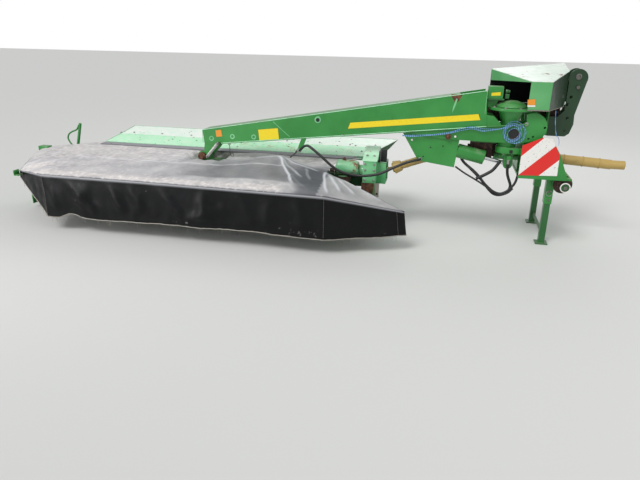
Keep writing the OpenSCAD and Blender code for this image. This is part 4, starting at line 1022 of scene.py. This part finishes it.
def make_hood():
    back_left, near_left, near_right, right, back_right = HOOD_PLAN
    bm = bmesh.new()
    # The roof is drawn in the painted sky glare copy of the hood enamel
    slab(bm, HOOD_PLAN, 0, 4, lambda a, b, depth: (a, b, hood_top(b) + depth))
    roof = finish("hood_roof", bm, HOOD_ROOF, "headstock", 30)
    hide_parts("hood")
    bm = bmesh.new()
    hood_wall(bm, near_left, near_right, HOOD_BOTTOM, HOOD_BOTTOM)
    hood_wall(bm, back_left, near_left, 1290, hood_top(-450) - 4)
    finish("hood_front", bm, HOOD_GREEN, "headstock", 30)
    # The side and back walls are drawn in the painted shade copy of the hood enamel
    bm = bmesh.new()
    hood_wall(bm, near_right, right, HOOD_BOTTOM, HOOD_BOTTOM)
    hood_wall(bm, right, back_right, HOOD_BOTTOM, HOOD_BOTTOM)
    hood_wall(bm, back_right, back_left, HOOD_BOTTOM, HOOD_BOTTOM)
    finish("hood_shaded_walls", bm, HOOD_SHADE, "headstock", 30)
    # Painted shade: a black sheet inside the back wall, where the hood's inside lies in shade
    bm = bmesh.new()
    inner = [(back_right[0] - 12, back_right[1] - 12), (back_left[0] + 12, back_left[1] + 2)]
    hood_wall(bm, inner[0], inner[1], HOOD_BOTTOM, HOOD_BOTTOM, 3)
    finish("hood_inner_shade_sheet", bm, RUBBER, "headstock", 30)
    bm = bmesh.new()
    slab(bm, [(96, -446), (252, -446), (420, -84), (420, 60), (240, 60), (240, -100)], 1098, 1104, lambda a, b, depth: (a, b, depth))
    slab(bm, [(240, 1000), (424, 1000), (424, 1098), (240, 1098)], 40, 46, lambda a, b, depth: (a, depth, b))
    finish("hood_shelf", bm, DARK_RUST, "headstock", 30, 1)
    bm = bmesh.new()
    tube(bm, [(96, -449, 1103), (254, -449, 1103), (424, -84, 1103)], 3.5, 8)
    finish("shelf_edge", bm, FRAYED, "headstock", 40)


# The metal cover, bent from one plate: y, z, and the outer and inner end of each bend line
COVER_LINES = ((-60, 594, -3744, -1185), (-40, 600, -3738, -1171), (122, 640.5, -3692, -1055), (132, 643, -3689, -1047),
               (322, 692.5, -3642, -921), (330, 694, -3640, -915), (340, 691, -3641, -920), (529, 605, -3699, -1140),
               (538, 596, -3700, -1150), (545, 430, -3700, -1150))


def cover_rows(first, last):
    rows = []
    for y, z, out, into in COVER_LINES[first:last + 1]:
        rows.append([(out + (into - out) * k / 30, y, z + 1.2 * noise.noise(Vector((k / 3, y / 90, 6)))) for k in range(31)])
    return rows


def make_metal_cover():
    bm = bmesh.new()
    thick_sheet(bm, cover_rows(0, 3), (0, 0, -4))
    slope = finish("cover_slope", bm, PALE_GREEN, "bed", 30)
    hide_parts("rear_cover")
    # The upper panel is drawn in the painted sky glare copy of the pale green enamel
    bm = bmesh.new()
    thick_sheet(bm, cover_rows(3, 7), (0, 0, -4))
    finish("cover_roof", bm, SKY_GLARE_GREEN, "bed", 50)
    bm = bmesh.new()
    thick_sheet(bm, cover_rows(7, 9), (0, -4, -1))
    finish("cover_rear_wall", bm, PALE_GREEN, "bed", 50)
    bm = bmesh.new()
    edge = ((-919, 324, 689), (-984, 230, 664), (-1035, 155, 645), (-1110, 46, 617), (-1168, -36, 597))
    depth = (2, 46, 64, 40, 8)
    thick_sheet(bm, [list(edge), [(x - 3, y, z - d) for (x, y, z), d in zip(edge, depth)]], (-4, 2, 0))
    finish("cover_end_flange", bm, DEEP_GREEN, "bed", 50)


def make_retaining_strip():
    bm = bmesh.new()
    slab(bm, [(-3744, -158), (-1300, -158), (-1225, -72), (-3744, -72)], 1.5, 4.5, on_roof)
    slab(bm, [(-3744, -166), (-1310, -166), (-1303, -157), (-3744, -157)], 1.5, 8, on_roof)
    finish("retaining_strip", bm, STRIP, "bed", 30, 1.5)
    bm = bmesh.new()
    for x in range(-3640, -1400, 420):
        bolt(bm, (x, -146, roof_height(-146) + 4.5), (0, 0, 1), 13, 7, 22)
    for x, y in ((-3700, 150), (-3563, 165), (-3258, 170), (-2944, 170), (-2620, 172), (-2290, 170), (-1960, 170),
                 (-1640, 172), (-1346, 165), (-1292, 150), (-1218, 40), (-1110, 180), (-1187, 120)):
        z = on_cover(x, y)
        bolt(bm, (x, y, z), (0, -0.25, 0.97), 13, 7, 20)
    for x in (-1346, -1110, -1000):
        bolt(bm, (x, 400, on_cover(x, 400)), (0, 0.42, 0.9), 13, 7, 20)
    finish("cover_bolts", bm, ZINC, "bed", 25)
    bm = bmesh.new()
    lip = [(x, 331, 694) for x in (-3636, -2800, -2000, -1300, -920)]
    tube(bm, lip, 2, 8)
    edge = [(-3742, -58, 596), (-3690, 130, 644), (-3640, 330, 696)]
    tube(bm, edge, 2, 8)
    finish("cover_edges", bm, FADED_GREEN, "bed", 40)


def make_cover_dirt():
    rng = random.Random(11)
    bm = bmesh.new()
    for _ in range(70):
        x, y = rng.uniform(-3600, -1250), rng.uniform(-20, 300)
        size = rng.uniform(3, 9)
        turn = rng.uniform(0, math.pi)
        points = []
        for k in range(9):
            a = turn + 2 * math.pi * k / 9
            points.append((x + size * math.cos(a) * rng.uniform(0.6, 1.4), y + 0.6 * size * math.sin(a)))
        slab(bm, points, 0.1, 1.2, lambda a, b, depth: (a, b, on_cover(a, b) + depth))
    finish("cover_chaff", bm, CHAFF, "bed", 40)
    bm = bmesh.new()
    for _ in range(26):
        x, y = rng.uniform(-2500, -1300), rng.uniform(-30, 60)
        turn = rng.uniform(0, math.pi)
        half = rng.uniform(18, 46)
        ends = [(x + s * half * math.cos(turn), y + s * half * math.sin(turn)) for s in (-1, 0, 1)]
        tube(bm, [(a, b, on_cover(a, b) + 1.5) for a, b in ends], 0.9, 5)
    finish("cover_straw", bm, STRAW, "bed", 60)


def make_hem():
    rng = random.Random(7)
    bm = bmesh.new()
    points = [(p - ORIGIN) / MM for p in hem_line]
    wide = [4.6 + 1.6 * noise.noise(Vector((p.x / 25, 2.2, 0))) for p in points]
    tube(bm, [tuple(p) for p in points], wide, 8)
    for _ in range(60):
        start = points[rng.randrange(4, len(points) - 4)]
        length = rng.uniform(12, 55)
        lean = rng.uniform(-14, 14)
        line = [(start.x + lean * t + rng.uniform(-3, 3), start.y - 2 + rng.uniform(-4, 4) * t, start.z - length * t)
                for t in (0, 0.35, 0.7, 1)]
        tube(bm, line, 0.9, 5)
    finish("canvas_hem", bm, FRAYED, "guard", 50)


def make_seams():
    bm = bmesh.new()
    for u in (1.0, 4.0, 4.9, 0.12):
        for k in range(24):
            line = []
            for s in (0, 0.5, 1):
                (x, y, z), _, _ = shape_canvas(u, 3.06 + (k + 0.62 * s) * 0.9 / 24)
                line.append((x, y - 3.2, z))
            tube(bm, line, 0.9, 5)
    finish("canvas_stitches", bm, FRAYED, "guard", 60)


def make_outer_end():
    bm = bmesh.new()
    block(bm, (-4402, -215, 462), (-4302, -140, 536))
    finish("outer_end_block", bm, GREEN, "bed", 30, 3)
    bm = bmesh.new()
    block(bm, (-4108, -936, 424), (-4062, -872, 432))
    block(bm, (-4108, -936, 432), (-4100, -872, 470))
    finish("outer_tip_bracket", bm, GREEN, "guard", 30, 1)
    bm = bmesh.new()
    loop = smooth_line([(-4176, 150, 700), (-4207, 150, 652), (-4262, 150, 628), (-4304, 150, 600), (-4322, 150, 556),
                        (-4302, 150, 512), (-4270, 148, 478)], 6)
    tube(bm, loop, 8, 10)
    finish("swath_loop", bm, GREEN, "bed", 40)


def make_gearbox_parts():
    bm = bmesh.new()
    for x in (-1110, -1050):
        bolt(bm, (x, -372, 668), (0, -0.25, 0.97), 15, 8, 22)
    for z in (475, 560, 610):
        for x in (-1118, -1042):
            bolt(bm, (x, -441, z), (0, -1, 0), 13, 7, 20)
    for turn in range(6):
        a = math.pi * turn / 3
        bolt(bm, (-1373, disc_row() + 36 * math.cos(a), 535 + 36 * math.sin(a)), (-1, 0, 0), 11, 6, 0)
    finish("gearbox_bolts", bm, ZINC, "bed", 25)
    bm = bmesh.new()
    turned(bm, (-1363, disc_row(), 566), (1, 0, 0), [(0, 44), (6, 58), (14, 64), (150, 64), (170, 58), (186, 50)], 32)
    finish("bevel_housing", bm, CHIPPED, "bed", 30)
    bm = bmesh.new()
    turned(bm, (-1300, disc_row(), 490), (0, 0, -1), [(0, 60), (30, 62), (36, 54), (90, 50), (96, 44)], 32)
    turned(bm, (-1419, -410, 536), (1, 0, 0), [(0, 14), (2, 17), (40, 17), (46, 24), (58, 24)], 24)
    finish("housing_flanges", bm, DARK_RUST, "bed", 30)
    bm = bmesh.new()
    turned(bm, (-1300, -404, 628), (0, 0, 1), [(0, 17), (6, 17), (7, 12), (18, 12), (20, 9)], 16)
    block(bm, (-1144, -436, 342), (-1040, -345, 449))
    finish("gearbox_leg", bm, RUST, "bed", 30, 3)
    bm = bmesh.new()
    on_face(bm, [(-1036, 334), (-992, 334), (-992, 451), (-1036, 451)], -436, -442)
    finish("support_strip", bm, FRAYED, "bed", 30, 1)
    bm = bmesh.new()
    # Painted shade: a black disc for the strip's hole
    turned(bm, (-1008, -442, 362), (0, -1, 0), [(0, 9), (0.8, 9)], 20)
    finish("support_hole", bm, BLACK_PRINT_AND_HOLE_SHADE, "bed", 30)
    bm = bmesh.new()
    for low, high in (((-1044, -332, 600), (-952, -144, 605)), ((-1044, -332, 424), (-952, -144, 429)),
                      ((-1044, -332, 430), (-952, -327, 599)), ((-1044, -149, 430), (-952, -144, 599))):
        block(bm, low, high)
    finish("joint_guard_box", bm, FADED_GREEN, "bed", 30, 1.5)
    bm = bmesh.new()
    block(bm, (-1003, -304, 608), (-952, -299, 713))
    finish("rubber_flap", bm, RUBBER, "bed", 30, 1.5)


def disc_row():
    return -400


def make_shaft_guards():
    bm = bmesh.new()
    start = Vector((-950, -238, 530))
    run = (Vector((-345, -238, 757)) - start).normalized()
    turned(bm, start + run * 62, run, [(0, 52), (4, 56), (64, 44), (68, 38), (68, 33)], 32)
    for along in (170, 320, 470):
        turned(bm, start + run * along, run, [(0, 32), (3, 35), (9, 35), (12, 32)], 32)
    finish("shaft_guard_cone", bm, GUARD, "shaft", 30)


def make_disc_bolts():
    for number in range(1, 9):
        x = -1310 - (8 - number) * 390
        turned_quarter = 90 if number % 2 == 0 else 0
        bm = bmesh.new()
        for k in range(4):
            a = math.radians(45 + 90 * k)
            bolt(bm, (x + 38 * math.cos(a), -400 + 38 * math.sin(a), 140), (0, 0, 1), 15, 8, 22)
        for side in (0, 180):
            a = math.radians(side + turned_quarter)
            bolt(bm, (x + 170 * math.cos(a), -400 + 170 * math.sin(a), 110), (0, 0, 1), 17, 7, 28)
        finish(f"disc_bolts_{number}", bm, DARK_STEEL, f"disc_{number}", 25)


make_hood()
make_metal_cover()
make_retaining_strip()
make_cover_dirt()
make_hem()
make_seams()
make_outer_end()
make_gearbox_parts()
make_shaft_guards()
make_disc_bolts()


# Pale floor and soft studio light
def make_stage():
    mesh = bpy.data.meshes.new("floor")
    size = 40.0
    mesh.from_pydata([(-size, -size, 0), (size, -size, 0), (size, size, 0), (-size, size, 0)], [], [(0, 1, 2, 3)])
    floor = bpy.data.objects.new("floor", mesh)
    bpy.context.collection.objects.link(floor)
    material, tree, shader, place = new_material("pale_floor")
    shader.inputs["Base Color"].default_value = linear("#d2d2cf")
    shader.inputs["Roughness"].default_value = 0.9
    mesh.materials.append(material)


def lamp(name, place, aim, size, power):
    data = bpy.data.lights.new(name, "AREA")
    data.shape = "DISK"
    data.size = size
    data.energy = power
    made = bpy.data.objects.new(name, data)
    bpy.context.collection.objects.link(made)
    made.location = place
    made.rotation_euler = (aim - place).to_track_quat("-Z", "Y").to_euler()


def make_light():
    world = bpy.data.worlds.new("studio")
    world.use_nodes = True
    tree = world.node_tree
    background = tree.nodes["Background"]
    background.inputs["Color"].default_value = linear("#eef0f2")
    background.inputs["Strength"].default_value = 0.6
    plain = add(tree, "ShaderNodeBackground", {"Color": linear("#ffffff"), "Strength": 1.0})
    seen = add(tree, "ShaderNodeLightPath").outputs["Is Camera Ray"]
    sky = add(tree, "ShaderNodeMixShader", {0: seen, 1: background.outputs[0], 2: plain.outputs[0]})
    tree.links.new(sky.outputs[0], tree.nodes["World Output"].inputs["Surface"])
    bpy.context.scene.world = world
    middle = at(-1700, 0, 500)
    lamp("fill", at(2500, -3500, 3500), middle, 4.0, 30)
    lamp("back", at(-500, 4000, 4500), middle, 4.0, 60)
    lamp("low_front", at(-5600, -4300, 1100), at(-2500, -1000, 300), 2.4, 13)
    bpy.data.lights["low_front"].spread = math.radians(70)
    sun = bpy.data.lights.new("key", "SUN")
    sun.energy = 1.7
    sun.angle = math.radians(24)
    key = bpy.data.objects.new("key", sun)
    bpy.context.collection.objects.link(key)
    key.rotation_euler = (middle - at(-3500, -3500, 5200)).to_track_quat("-Z", "Y").to_euler()
    bpy.context.scene.view_settings.view_transform = "Standard"


make_stage()
make_light()
